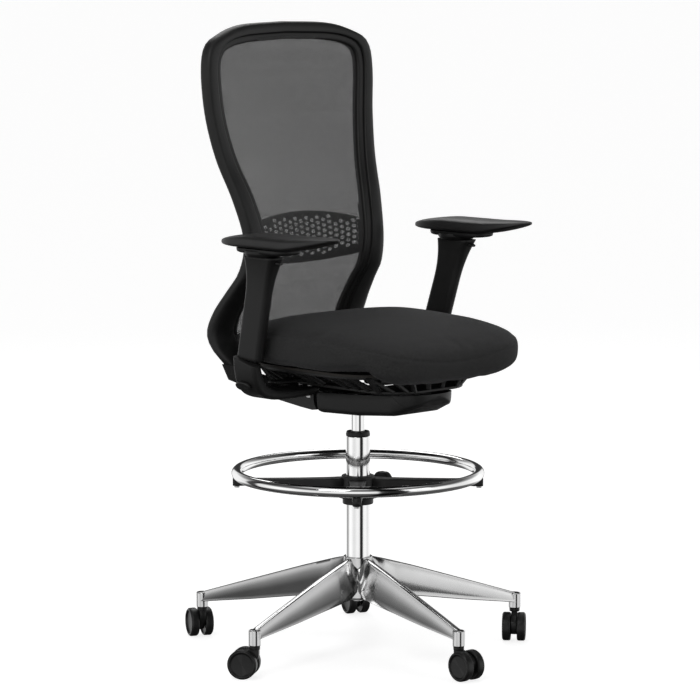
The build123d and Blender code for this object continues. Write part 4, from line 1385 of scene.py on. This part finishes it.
def stitch_tree() -> bpy.types.NodeTree:
    """A tree that lays short threads end to end along its mesh's line."""
    graph, start, end = geometry_tree("stitches_on_a_line", [
        ("Pitch", "NodeSocketFloat", 0.005), ("Length", "NodeSocketFloat", 0.0036),
        ("Thread", "NodeSocketFloat", 0.0004)])
    line = graph.add("GeometryNodeMeshToCurve", {"Mesh": start.outputs["Geometry"]})
    points = graph.add("GeometryNodeCurveToPoints", {"Curve": line.outputs[0], "Length": start.outputs["Pitch"]},
                       mode="LENGTH")
    thread = graph.add("GeometryNodeMeshUVSphere", {"Segments": 6, "Rings": 4, "Radius": 1.0})
    half = graph.math("MULTIPLY", start.outputs["Length"], 0.5)
    size = graph.add("ShaderNodeCombineXYZ", {"X": start.outputs["Thread"], "Y": start.outputs["Thread"], "Z": half})
    copies = graph.add("GeometryNodeInstanceOnPoints", {"Points": points.outputs[0], "Instance": thread.outputs[0],
                                                        "Rotation": points.outputs["Rotation"],
                                                        "Scale": size.outputs[0]})
    close_tree(graph, start, end, copies.outputs[0])
    return graph.tree


# ------------------------------------------------------------------ arms
@dataclass
class Arm:
    """One arm: the bracket under the seat, the sliding sleeve, its trigger, the pad's plate and the pad."""

    side: Side
    lean: float = math.radians(15)
    spread: float = math.radians(4)
    axis_at: Point = (0.264, 0.0345, 0.655)
    post: Pair = (33 * MM, 12 * MM)
    flare: Pair = (44 * MM, 20 * MM)
    split: float = 625 * MM
    top: float = 838 * MM
    plate_at: Pair = (0.2768, -0.0145)
    bend: Sequence[Point] = ((0.270, 0.0440, 0.624), (0.2665, 0.0450, 0.604), (0.2600, 0.0460, 0.583),
                             (0.2470, 0.0470, 0.5660), (0.2280, 0.0475, 0.5565), (0.2050, 0.0480, 0.5515),
                             (0.1700, 0.0480, 0.5490), (0.1300, 0.0480, 0.5485), (0.0880, 0.0480, 0.5485))
    thick: Sequence[float] = (12.0, 12.2, 12.6, 13.4, 12.8, 11.8, 10.6, 9.6, 9.0)
    wide: Sequence[float] = (33.0, 33.0, 32.6, 32.0, 31.2, 30.6, 30.0, 29.4, 28.6)

    def at(self, height: float) -> Vector:
        """The post's axis at a height.

        Args:
            height: The height.

        Returns:
            The axis's point there.
        """
        x, y, z = self.axis_at
        rise = height - z
        return Vector((self.side.value * (x + rise * math.tan(self.spread)), y - rise * math.tan(self.lean), height))

    def build(self) -> None:
        """Make every piece of the arm."""
        word = self.side.word
        self.build_bracket(word)
        self.build_sleeve(word)
        self.build_top(word)
        self.build_pad(word)

    def build_bracket(self, word: str) -> None:
        """Sweep the bracket from the post round its bend and under the seat.

        Args:
            word: The side's word.
        """
        hand = self.side.value
        places = np.linspace(0, 1, 46)
        line, sizes = spline(self.bend, places), spline(list(zip(self.thick, self.wide)), places)
        build = bmesh.new()
        rings = []
        for i, (point, (thick, wide)) in enumerate(zip(line, sizes)):
            ahead, behind = line[min(i + 1, len(line) - 1)], line[max(i - 1, 0)]
            along = Vector(ahead - behind).normalized()
            fore = Vector((0, 1, 0)) if i > 12 else Vector((0, 1, math.tan(self.lean) * (1 - i / 12))).normalized()
            out = along.cross(fore).normalized()
            ends = 1.0 - 0.12 * max(i - 42, 0) / 3
            ring = []
            for u, v in rounded_rectangle(wide * MM * ends, thick * MM * ends, min(thick, 10.0) * MM * 0.85, 6):
                place = Vector(point) + fore * u + out * v
                ring.append((hand * place.x, place.y, place.z))
            rings.append(ring)
        add_skin(build, rings)
        bracket = finish_with(object_from(f"arm_{word}_bracket", build, FRAME_PLASTIC), bevel=1.2 * MM, segments=2,
                              angle=40)
        mount(bracket, "seat", FRAME_PLASTIC, f"arm_bracket_{word}")
        build = bmesh.new()
        base = self.at(0.60)
        core = []
        for height in (0.612, 0.80):
            middle = self.at(height)
            core.append([(middle.x + v, middle.y + u, middle.z - u * 0) for u, v in
                         rounded_rectangle(24 * MM, 5.5 * MM, 3 * MM, 4)])
        add_skin(build, core)
        mount(object_from(f"arm_{word}_core", build, GROUND_STEEL), "seat", GROUND_STEEL)
        build = bmesh.new()
        turn = Matrix.Translation((hand * 0.2715, base.y + 0.004, 0.571)) @ Matrix.Rotation(
            hand * math.radians(118), 4, "Y") @ Matrix.Scale(0.52, 4, (1, 0, 0))
        add_turned(build, eased([(0.0, -0.002), (0.021, -0.002), (0.021, 0.0022), (0.017, 0.0034), (0.0, 0.0036)],
                                1.2 * MM), turn, 48)
        mount(object_from(f"arm_{word}_cap", build, CASTOR_PLASTIC), "seat", CASTOR_PLASTIC)

    def build_sleeve(self, word: str) -> None:
        """Loft the sleeve, which flares forwards and back under the pad.

        Args:
            word: The side's word.
        """
        build = bmesh.new()
        heights = np.concatenate([[self.split, self.split + 0.8 * MM], np.linspace(0.632, 0.74, 12),
                                  np.linspace(0.748, self.top - 1 * MM, 22), [self.top]])
        rings = []
        for height in heights:
            share = max((height - 0.75) / (self.top - 0.75), 0.0)
            grow = share**2.2
            long = self.post[0] + (self.flare[0] - self.post[0]) * grow
            wide = self.post[1] + (self.flare[1] - self.post[1]) * grow
            if height in (self.split, self.top):
                long, wide = long - 0.8 * MM, wide - 0.8 * MM
            middle = self.at(float(height))
            slope = math.tan(self.lean) if height < 0.70 else math.tan(self.lean) * max(1 - (height - 0.70) / 0.12, 0)
            ring = []
            for u, v in rounded_rectangle(long, wide, min(wide, 11.5 * MM), 8):
                drop = u * slope * 0.27 if height < 0.70 else u * slope * 0.27
                ring.append((middle.x + v, middle.y + u, middle.z + drop))
            rings.append(ring)
        add_skin(build, rings)
        mount(object_from(f"arm_{word}_sleeve", build, FRAME_PLASTIC), f"arm_sleeve_{word}", FRAME_PLASTIC,
              f"arm_sleeve_{word}")
        build = bmesh.new()
        middle = self.at(0.829)
        rings = []
        for share in np.linspace(0, 1, 8):
            y = middle.y - self.flare[0] + 6 * MM - 15 * MM * float(share)
            half = 6.5 * MM * (1 - 0.25 * share**2)
            tall = 3.6 * MM * (1 - 0.30 * share)
            rings.append([(middle.x + u, y, 0.8285 - 2 * MM * share + v)
                          for u, v in rounded_rectangle(half, tall, 2.4 * MM, 4)])
        add_skin(build, rings)
        piece = finish_with(object_from(f"arm_{word}_button", build, CASTOR_PLASTIC), bevel=0.8 * MM, segments=2)
        mount(piece, f"arm_trigger_{word}", CASTOR_PLASTIC, f"arm_trigger_{word}")

    def build_top(self, word: str) -> None:
        """Make the turning plate that the pad slides on.

        Args:
            word: The side's word.
        """
        hand, (x, y) = self.side.value, self.plate_at
        build = bmesh.new()
        disc = Matrix.Translation((hand * x, y, 0))
        add_turned(build, eased([(0.0, self.top + 0.4 * MM), (0.0345, self.top + 0.4 * MM), (0.0392, 0.8445),
                                 (0.0396, 0.852), (0.0, 0.852)], 2 * MM), disc, 72)
        rings = [[(hand * x + u, y - 0.014 + v, z) for u, v in rounded_rectangle(0.034 * s, 0.075 * s, 0.028 * s, 8)]
                 for z, s in ((0.8462, 0.90), (0.8480, 0.975), (0.8510, 0.995), (0.8548, 1.0), (0.8553, 0.99))]
        add_skin(build, rings)
        mount(object_from(f"arm_{word}_turntable", build, FRAME_PLASTIC), f"arm_plate_{word}", FRAME_PLASTIC,
              f"arm_plate_{word}")

    def build_pad(self, word: str) -> None:
        """Make the soft pad: full in the middle, thinning to its tips, chamfered up at the front.

        Args:
            word: The side's word.
        """
        hand, (x, y) = self.side.value, self.plate_at
        front, rear, half = -0.2195, 0.0985, 46.5 * MM
        build = bmesh.new()
        rings = []
        rows = 46
        for i in range(rows + 1):
            share = i / rows
            place = front + (rear - front) * (0.5 - 0.5 * math.cos(math.pi * (0.01 + 0.98 * share)))
            t = (place - front) / (rear - front)
            plan = (1 - abs(2 * t - 1) ** 3.6) ** 0.5
            ends = (1 - abs(2 * t - 1) ** 9.0) ** 0.5
            wide = half * plan * (1.0 - 0.10 * max(t - 0.55, 0))
            top = 0.8840 + 0.0030 * max(0.3 - t, 0) / 0.3 - 0.0140 * (max(t - 0.68, 0) / 0.32) ** 1.4
            low = 0.8556 + 0.0235 * (max(0.34 - t, 0) / 0.34) ** 1.15 + 0.0010 * max(t - 0.84, 0) / 0.16
            mid, tall = (top + low) / 2, max((top - low) / 2 * ends, 0.3 * MM)
            ring = []
            for k in range(40):
                angle = 2 * math.pi * k / 40
                c, s = math.cos(angle), math.sin(angle)
                u = math.copysign(abs(c) ** 0.55, c) * max(wide, 0.4 * MM)
                v = math.copysign(abs(s) ** (0.62 if s > 0 else 0.42), s) * tall
                ring.append((hand * (x + u), place, mid + v))
            rings.append(ring)
        add_skin(build, rings)
        pad = object_from(f"arm_{word}_pad", build, PAD_SKIN)
        finish_with(pad, levels=1)
        settle(pad)
        for face in pad.data.polygons:
            face.use_smooth = True
        mount(pad, f"arm_pad_{word}", PAD_SKIN, f"arm_pad_{word}")


# ------------------------------------------------------------------ back
FACE_LINE = ((0.166, 0.596), (0.200, 0.650), (0.184, 0.700), (0.150, 0.750), (0.122, 0.790), (0.112, 0.850),
             (0.132, 0.930), (0.165, 1.015), (0.184, 1.100), (0.190, 1.180), (0.193, 1.240), (0.198, 1.300))
OUTER_LINE = ((0.200, 0.596), (0.214, 0.625), (0.217, 0.690), (0.201, 0.770), (0.193, 0.850), (0.205, 0.940),
              (0.220, 1.020), (0.231, 1.100), (0.237, 1.190), (0.226, 1.246), (0.187, 1.271), (0.120, 1.289),
              (0.0, 1.294))
MESH_LINE = ((0.149, 0.648), (0.151, 0.690), (0.146, 0.770), (0.147, 0.850), (0.160, 0.940), (0.178, 1.015),
             (0.193, 1.100), (0.200, 1.180), (0.197, 1.220), (0.178, 1.243), (0.120, 1.257), (0.0, 1.262))
HOLLOW = ((0.596, 4.0), (0.650, 6.0), (0.700, 20.0), (0.750, 30.0), (0.790, 24.0), (0.850, 16.0), (0.930, 24.0),
          (1.015, 34.0), (1.100, 32.0), (1.180, 22.0), (1.240, 8.0), (1.300, 8.0))


def smooth_value(line: Sequence[Pair], place: float) -> float:
    """The value of a smooth line of (value, place) points at a place.

    Args:
        line: The points, in rising order of place.
        place: Where to read it.

    Returns:
        The value.
    """
    heights = [p[1] for p in line]
    rows = spline(line, np.linspace(0, 1, 241))
    return float(np.interp(place, rows[:, 1], rows[:, 0])) if heights[0] < place < heights[-1] else (
        line[0][0] if place <= heights[0] else line[-1][0])


FACE_TABLE = spline(FACE_LINE, np.linspace(0, 1, 241))


def face_at(height: float) -> float:
    """How far back the frame's face is at a height."""
    return float(np.interp(height, FACE_TABLE[:, 1], FACE_TABLE[:, 0]))


@dataclass
class BackFrame:
    """The back: outer frame with its lower panel and the ring that clamps the net; the carrier below keeps its imported
    shape.
    """

    depth: float = 30 * MM
    rim: float = 10 * MM
    steps: int = 64

    def half_loop(self, line: Sequence[Pair], count: int) -> list[Pair]:
        """Even points along one side of an outline, from the bottom to the middle of the top.

        Args:
            line: The outline's points.
            count: How many to give.

        Returns:
            The points.
        """
        fine = spline(line, np.linspace(0, 1, 400))
        run = np.concatenate([[0], np.cumsum(np.linalg.norm(np.diff(fine, axis=0), axis=1))])
        at = np.linspace(0, run[-1], count)
        return [(float(np.interp(t, run, fine[:, 0])), float(np.interp(t, run, fine[:, 1]))) for t in at]

    def opening_line(self, gap: float) -> list[Pair]:
        """The net's edge moved outwards.

        Args:
            gap: How far.

        Returns:
            Points from the bottom to the middle of the top.
        """
        pts = np.array(self.half_loop(MESH_LINE, self.steps))
        way = np.gradient(pts, axis=0)
        way /= np.linalg.norm(way, axis=1, keepdims=True)
        moved = pts + np.stack([way[:, 1], -way[:, 0]], 1) * gap
        moved[-1, 0] = 0.0
        return [tuple(p) for p in moved]

    def crown(self, x: float, z: float) -> float:
        """How much the top rail bows back towards its middle."""
        share = min(max((z - 1.21) / 0.07, 0), 1)
        return 14 * MM * share * max(1 - (x / 0.2) ** 2, 0)

    def both(self, right: Sequence[Point]) -> list[Point]:
        """A line and its mirror image, from one foot over the top to the other."""
        return list(right) + [(-x, y, z) for x, y, z in reversed(right[:-1])]

    def sweep(self, name: str, outer: Sequence[Pair], inner: Sequence[Pair], profile: Sequence[Pair]) -> bpy.types.Object:
        """Run a section round the frame between two outlines.

        Args:
            name: The piece's name.
            outer: The outer outline of one side.
            inner: The inner outline of the same side.
            profile: (share from inner to outer, metres behind the face) round the section.

        Returns:
            The piece.
        """
        lines = []
        for share, behind in profile:
            right = []
            for (ox, oz), (ix, iz) in zip(outer, inner):
                x, z = ix + (ox - ix) * share, iz + (oz - iz) * share
                right.append((x, face_at(z) + behind + self.crown(x, z), z))
            lines.append(self.both(right))
        rings = list(zip(*lines))
        build = bmesh.new()
        add_skin(build, rings)
        return object_from(name, build, FRAME_PLASTIC)

    def build(self) -> None:
        """Make the frame, its panel and the ring."""
        outer = self.half_loop(OUTER_LINE, self.steps)
        inner = self.opening_line(self.rim)
        foot = [(0.160, 0.598)] + inner[1:]
        body = [(0.0, 5 * MM), (0.02, 1.6 * MM), (0.10, 0.2 * MM), (0.5, 0), (0.78, 1 * MM), (0.92, 4.2 * MM),
                (0.985, 10 * MM), (1.0, 16 * MM), (0.985, 22 * MM), (0.93, 26.5 * MM), (0.80, 29.4 * MM),
                (0.5, 30 * MM), (0.10, 29.8 * MM), (0.02, 28 * MM), (0.0, 25 * MM)]
        shell = self.sweep("back_shell", outer, foot, body)
        finish_with(shell, bevel=1.0 * MM, segments=2, angle=50)
        mount(shell, "back", FRAME_PLASTIC, "back_frame")
        ring_out = self.opening_line(self.rim + 1.0 * MM)
        ring_in = self.opening_line(-5 * MM)
        lip = [(0.0, 11.5 * MM), (0.05, 8.6 * MM), (0.30, 7.2 * MM), (0.75, 5.6 * MM), (0.97, 6.2 * MM),
               (1.0, 8 * MM), (1.0, 25 * MM), (0.7, 26 * MM), (0.0, 24 * MM)]
        mount(self.sweep("back_ring", ring_out, ring_in, lip), "back", FRAME_PLASTIC, "mesh_ring")
        self.build_panel()

    def build_panel(self) -> None:
        """Make the solid panel under the net, dished between the two uprights."""
        build = bmesh.new()
        rows = []
        for height in np.linspace(0.588, 0.652, 16):
            half = float(np.interp(height, (0.588, 0.60, 0.65), (0.158, 0.160, 0.158)))
            row = []
            for share in np.linspace(-1, 1, 61):
                x = half * float(share)
                dish = 15 * MM * (1 - abs(share) ** 6)
                lip = 4 * MM * math.exp(-((height - 0.652) / 0.006) ** 2)
                row.append((x, face_at(float(height)) + 4 * MM + dish - lip, float(height)))
            rows.append(row)
        add_skin(build, rows, closed=False, caps=False)
        panel = object_from("back_panel", build, FRAME_PLASTIC)
        wall = panel.modifiers.new("wall", "SOLIDIFY")
        wall.thickness, wall.offset = 9 * MM, 0.0
        finish_with(panel, bevel=1.6 * MM, segments=3, angle=40)
        mount(panel, "back", FRAME_PLASTIC)


@dataclass
class BackNet:
    """The stretched net, with its edge in the ring."""

    rings: int = 40
    setback: float = 14 * MM

    def place(self, x: float, z: float) -> Point:
        """A point of the net at rest under its tension.

        Args:
            x: Sideways place.
            z: Height.

        Returns:
            The point on the net.
        """
        edge = smooth_value([(p[0], p[1]) for p in MESH_LINE[:-1]], min(z, 1.24))
        hollow = float(np.interp(z, *zip(*HOLLOW))) * MM
        across = max(1 - (x / edge) ** 2, 0.0)
        top = min(max((1.262 - z) / 0.05, 0), 1)
        bottom = min(max((z - 0.648) / 0.04, 0), 1)
        return x, face_at(z) + self.setback + hollow * across * math.sqrt(top * bottom), z

    def build(self, frame: BackFrame) -> None:
        """Make the net as rings that shrink from its edge to its middle.

        Args:
            frame: The back's frame, which gives the edge.
        """
        side = frame.opening_line(2 * MM)
        foot = [(x, 0.646) for x in np.linspace(-side[0][0], side[0][0], 26)[1:-1]]
        loop = [(x, z) for x, z, in side] + [(-x, z) for x, z in reversed(side[:-1])] + [(float(x), z) for x, z in foot]
        middle = Vector((0.0, 0.96))
        build = bmesh.new()
        rows = []
        flat = []
        for i in range(self.rings):
            scale = 1 - i / self.rings
            rows.append([self.place(middle.x + (x - middle.x) * scale, middle.y + (z - middle.y) * scale)
                         for x, z in loop])
        add_skin(build, rows, caps=False)
        build.verts.ensure_lookup_table()
        last = build.verts[-len(loop):]
        build.faces.new(last)
        bmesh.ops.triangulate(build, faces=[f for f in build.faces if len(f.verts) > 4])
        net = object_from("back_net", build, BACK_NET)
        chart = net.data.uv_layers.new(name="net")
        for item in net.data.loops:
            co = net.data.vertices[item.vertex_index].co
            chart.data[item.index].uv = (co.x, co.z)
        mount(net, "back", BACK_NET, "back_mesh")
        del flat


def oval_grid_tree() -> bpy.types.NodeTree:
    """A tree that sets a flat cell pierced by an oval on each point of its mesh, so that staggered points give
    staggered ovals.
    """
    graph, start, end = geometry_tree("oval_cells", [
        ("Hole Width", "NodeSocketFloat", 0.011), ("Hole Height", "NodeSocketFloat", 0.0064),
        ("Cell Width", "NodeSocketFloat", 0.0155), ("Cell Height", "NodeSocketFloat", 0.0115)])
    outer = graph.add("GeometryNodeMeshGrid", {"Size X": start.outputs["Cell Width"],
                                               "Size Y": start.outputs["Cell Height"], "Vertices X": 7, "Vertices Y": 7})
    place = graph.add("GeometryNodeInputPosition").outputs[0]
    x, y, _ = graph.add("ShaderNodeSeparateXYZ", {0: place}).outputs
    ring_x = graph.math("DIVIDE", x, graph.math("MULTIPLY", start.outputs["Cell Width"], 0.5))
    ring_y = graph.math("DIVIDE", y, graph.math("MULTIPLY", start.outputs["Cell Height"], 0.5))
    level = graph.math("MAXIMUM", graph.math("ABSOLUTE", ring_x), graph.math("ABSOLUTE", ring_y))
    inside = graph.math("LESS_THAN", level, 0.34)
    holed = graph.add("GeometryNodeDeleteGeometry", {"Geometry": outer.outputs[0], "Selection": inside},
                      domain="POINT")
    angle = graph.math("ARCTAN2", ring_y, ring_x)
    hole_x = graph.math("MULTIPLY", graph.math("COSINE", angle), graph.math("MULTIPLY", start.outputs["Hole Width"], 0.5))
    hole_y = graph.math("MULTIPLY", graph.math("SINE", angle), graph.math("MULTIPLY", start.outputs["Hole Height"], 0.5))
    rim = graph.math("LESS_THAN", level, 0.67)
    rim = graph.math("MULTIPLY", rim, 1.0)
    moved = graph.add("ShaderNodeCombineXYZ", {"X": hole_x, "Y": hole_y})
    pulled = graph.add("GeometryNodeSetPosition", {"Geometry": holed.outputs[0], "Selection": rim,
                                                   "Position": moved.outputs[0]})
    points = graph.add("GeometryNodeMeshToPoints", {"Mesh": start.outputs["Geometry"]})
    cells = graph.add("GeometryNodeInstanceOnPoints", {"Points": points.outputs[0], "Instance": pulled.outputs[0]})
    close_tree(graph, start, end, cells.outputs[0], weld=0.05 * MM)
    return graph.tree


@dataclass
class LumbarPanel:
    """The pierced lumbar panel behind the net, and the rails that hold its ends."""

    half: float = 168 * MM
    behind: float = 50 * MM
    thick: float = 5 * MM
    pitch: Pair = (15.5 * MM, 11.5 * MM)
    columns: int = 9
    bow: float = 17 * MM
    middle: float = 846 * MM

    def limits(self, x: float) -> Pair:
        """The panel's lower and upper edge at a place.

        Args:
            x: Sideways place.

        Returns:
            The two heights.
        """
        share = (x / self.half) ** 2
        return 0.794 + 0.014 * share, 0.901 - 0.024 * share

    def depth_at(self, x: float) -> float:
        """How far behind the face the panel's front is, which comes forward towards its ends."""
        return self.behind - self.bow * (x / self.half) ** 2

    def build(self) -> None:
        """Make the pierced web by a geometry tree, bend it to the back's line and rim it."""
        points = []
        wide, tall = self.pitch
        for column in range(-self.columns, self.columns + 1):
            rows = 3 if abs(column) < 6 else 2
            shift = tall / 2 if column % 2 else 0.0
            points += [(column * wide, row * tall + shift, 0.0) for row in range(-rows, rows + 1)]
        seed = bpy.data.meshes.new("lumbar_cells")
        seed.from_pydata(points, [], [])
        web = grown("lumbar_web", oval_grid_tree(), {"Hole Width": 12.6 * MM, "Hole Height": 8.2 * MM,
                                                     "Cell Width": wide, "Cell Height": tall}, FRAME_PLASTIC, seed)
        self.bend(web)
        wall = web.modifiers.new("wall", "SOLIDIFY")
        wall.thickness, wall.offset = self.thick * 0.4, 0.0
        mount(web, "lumbar", FRAME_PLASTIC, "lumbar_panel")
        self.build_rim(points)

    def bend(self, web: bpy.types.Object) -> None:
        """Stand the flat web up on the back's line.

        Args:
            web: The web, flat in X and Y round its middle.
        """
        for point in web.data.vertices:
            x, z = point.co.x, self.middle + point.co.y
            point.co = (x, face_at(z) + self.depth_at(x) + self.thick / 2, z)

    def build_rim(self, points: Sequence[Point]) -> None:
        """Make the solid border round the pierced field.

        Args:
            points: The cells' middles.
        """
        wide, tall = self.pitch
        columns = sorted({round(x, 5) for x, _, _ in points})
        for name, top in (("lumbar_upper_rim", True), ("lumbar_lower_rim", False)):
            build = bmesh.new()
            rings = []
            for x in np.linspace(-self.half, self.half, 85):
                column = min(max(round(float(x) / wide), -self.columns), self.columns)
                own = [y for cx, y, _ in points if abs(cx - column * wide) < 1e-5]
                low, high = self.limits(float(x))
                if top:
                    near, far = self.middle + max(own) + tall / 2 - 0.4 * MM, high
                else:
                    near, far = self.middle + min(own) - tall / 2 + 0.4 * MM, low
                if (far - near) * (1 if top else -1) < 1.5 * MM:
                    near = far - 1.5 * MM * (1 if top else -1)
                ring = []
                for z, behind in ((near, 0.5), (far, 0.5), (far, self.thick / MM - 0.5), (near, self.thick / MM - 0.5)):
                    ring.append((float(x), face_at(z) + self.depth_at(float(x)) + behind * MM, z))
                rings.append(ring)
            add_skin(build, rings)
            mount(object_from(name, build, FRAME_PLASTIC), "lumbar", FRAME_PLASTIC)
        build = bmesh.new()
        for hand in (-1, 1):
            near, far = hand * (columns[-1] + wide / 2 - 0.4 * MM), hand * self.half
            rows = []
            for z in np.linspace(0.8085, 0.8765, 12):
                y = face_at(float(z)) + self.depth_at(self.half)
                rows.append([(near, y + 0.5 * MM, z), (far, y + 0.5 * MM, z), (far, y + 4.5 * MM, z),
                             (near, y + 4.5 * MM, z)])
            add_skin(build, rows)
        mount(object_from("lumbar_ends", build, FRAME_PLASTIC), "lumbar", FRAME_PLASTIC)
        build = bmesh.new()
        for hand in (-1, 1):
            rows = []
            for z in np.linspace(0.786, 0.908, 18):
                y = face_at(float(z)) + 29 * MM
                rows.append([(hand * 0.160, y, z), (hand * 0.171, y, z), (hand * 0.171, y + 13 * MM, z),
                             (hand * 0.160, y + 13 * MM, z)])
            add_skin(build, rows)
        rails = finish_with(object_from("lumbar_guides", build, FRAME_PLASTIC), bevel=1.2 * MM, segments=2)
        mount(rails, "back", FRAME_PLASTIC, "lumbar_rails")


# ------------------------------------------------------------------ studio
@dataclass
class Studio:
    """A white sweep, soft lights and the camera."""

    eye: Point = (-4.8363, -4.9214, 1.4984)
    heading: Pair = (0.6992, 0.7149)
    pitch: float = math.radians(7.212)
    lens: float = 174.01
    sensor: float = 36.0
    floor_half: float = 90.0
    glow: float = 0.8

    def build(self) -> None:
        """Set up the floor, the lights, the surroundings and the camera."""
        scene = bpy.context.scene
        white = bpy.data.materials.new("studio_white")
        white.use_nodes = True
        shader = white.node_tree.nodes["Principled BSDF"]
        shader.inputs["Base Color"].default_value = (0.5, 0.5, 0.5, 1.0)
        shader.inputs["Roughness"].default_value = 1.0
        shader.inputs["Specular IOR Level"].default_value = 0.0
        shader.inputs["Emission Color"].default_value = (1.0, 1.0, 1.0, 1.0)
        shader.inputs["Emission Strength"].default_value = self.glow
        ground = bmesh.new()
        bmesh.ops.create_grid(ground, x_segments=1, y_segments=1, size=self.floor_half)
        self.backdrop("studio_floor", ground, white)
        dome = bmesh.new()
        bmesh.ops.create_uvsphere(dome, u_segments=48, v_segments=24, radius=self.floor_half * 0.95)
        self.backdrop("studio_dome", dome, white).visible_shadow = False
        self.surround(scene)
        scene.view_settings.view_transform = "Standard"
        self.lamp("key", (-3.2, -1.2, 3.4), 1.8, 42.0)
        self.lamp("fill", (0.8, -4.2, 2.0), 2.2, 14.0)
        self.lamp("back", (1.8, 2.4, 3.2), 2.0, 34.0)
        lens = bpy.data.cameras.new("camera")
        lens.lens, lens.sensor_width = self.lens, self.sensor
        lens.clip_end = 300.0
        camera = bpy.data.objects.new("camera", lens)
        camera.location = self.eye
        yaw = math.atan2(-self.heading[0], self.heading[1])
        camera.rotation_euler = (math.pi / 2 - self.pitch, 0.0, yaw)
        scene.collection.objects.link(camera)
        scene.camera = camera

    def backdrop(self, name: str, build: bmesh.types.BMesh, finish: bpy.types.Material) -> bpy.types.Object:
        """Stand one white surface behind or under the chair, which the chair doesn't mirror.

        Args:
            name: Its name.
            build: Its mesh, which is freed.
            finish: Its material.

        Returns:
            The staged object.
        """
        data = bpy.data.meshes.new(name)
        build.to_mesh(data)
        build.free()
        data.materials.append(finish)
        stage = bpy.data.objects.new(name, data)
        bpy.context.scene.collection.objects.link(stage)
        stage.visible_glossy = False
        stage.visible_diffuse = False
        return stage

    def surround(self, scene: bpy.types.Scene) -> None:
        """Stand soft boxes and dark flags round the chair, as bands of light and shade by direction.

        Args:
            scene: The scene to light.
        """
        world = bpy.data.worlds.new("studio")
        world.use_nodes = True
        graph = Graph(world.node_tree)
        way = graph.add("ShaderNodeTexCoord").outputs["Generated"]
        x, y, z = graph.add("ShaderNodeSeparateXYZ", {0: way}).outputs
        turn = graph.math("ARCTAN2", y, x)
        wave = graph.math("SINE", graph.math("ADD", graph.math("MULTIPLY", turn, 5.0), 0.9))
        slow = graph.math("SINE", graph.math("ADD", graph.math("MULTIPLY", turn, 2.0), 2.2))
        band = graph.math("MULTIPLY_ADD", wave, 0.34, graph.math("MULTIPLY_ADD", slow, 0.2, 0.5))
        walls = graph.ramp(band, [(0.0, grey(0.02)), (0.17, grey(0.06)), (0.27, grey(0.75)), (1.0, grey(1.0))])
        height = graph.ramp(graph.math("MULTIPLY_ADD", z, 0.5, 0.5),
                            [(0.0, grey(0.05)), (0.28, grey(0.12)), (0.36, grey(1.0)), (0.62, grey(1.0)),
                             (0.70, grey(0.35)), (0.78, grey(0.08)), (0.90, grey(0.12)), (1.0, grey(1.0))])
        mix = graph.add("ShaderNodeMix", data_type="RGBA", blend_type="MULTIPLY")
        mix.inputs["Factor"].default_value = 1.0
        graph.tree.links.new(walls, mix.inputs["A"])
        graph.tree.links.new(height, mix.inputs["B"])
        back = graph.add("ShaderNodeBackground", {"Color": mix.outputs["Result"], "Strength": 1.25})
        out = graph.add("ShaderNodeOutputWorld")
        graph.tree.links.new(back.outputs[0], out.inputs["Surface"])
        scene.world = world

    def lamp(self, name: str, where: Point, size: float, power: float) -> None:
        """Hang one square area light that faces the chair.

        Args:
            name: The light's name.
            where: Its place.
            size: Its side.
            power: Its power in watts.
        """
        data = bpy.data.lights.new(name, "AREA")
        data.size, data.energy = size, power
        light = bpy.data.objects.new(name, data)
        light.location = where
        way = Vector((0.0, 0.0, 0.7)) - Vector(where)
        light.rotation_euler = way.to_track_quat("-Z", "Y").to_euler()
        bpy.context.scene.collection.objects.link(light)


KEPT_NODES = {
    GROUND_STEEL: ("rod_bearing", "piston_rod", "release_pin", "pivot_shafts", "tilt_springs", "arm_bolts",
                   *[f"castor_{n}_pins" for n in range(1, 6)]),
    FRAME_PLASTIC: ("footring_liner", "clamp_pad", "back_carrier"),
    HOUSING_PAINT: ("mechanism_housing",),
    BOARD_WOOD: ("cushion_board",),
}


def dress_nodes() -> None:
    """Give each node that stays visible its finish."""
    for finish, names in KEPT_NODES.items():
        for name in names:
            node = bpy.data.objects[name]
            node.data.materials.clear()
            node.data.materials.append(finish.material())


def main() -> None:
    """Build the chair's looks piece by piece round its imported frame."""
    logging.basicConfig(level=logging.INFO, format="%(asctime)s %(name)s: %(message)s")
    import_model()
    StarBase().build()
    for number in range(1, 6):
        Castor(number).build()
    Column().build()
    FootRing().build()
    Mechanism().build()
    SeatPan().build()
    Lever("height_lever", Side.RIGHT).build()
    Lever("tilt_lever", Side.LEFT).build()
    Cushion().build()
    for side in Side:
        Arm(side).build()
    back = BackFrame()
    back.build()
    BackNet().build(back)
    LumbarPanel().build()
    dress_nodes()
    Studio().build()


if __name__ == "__main__":
    main()
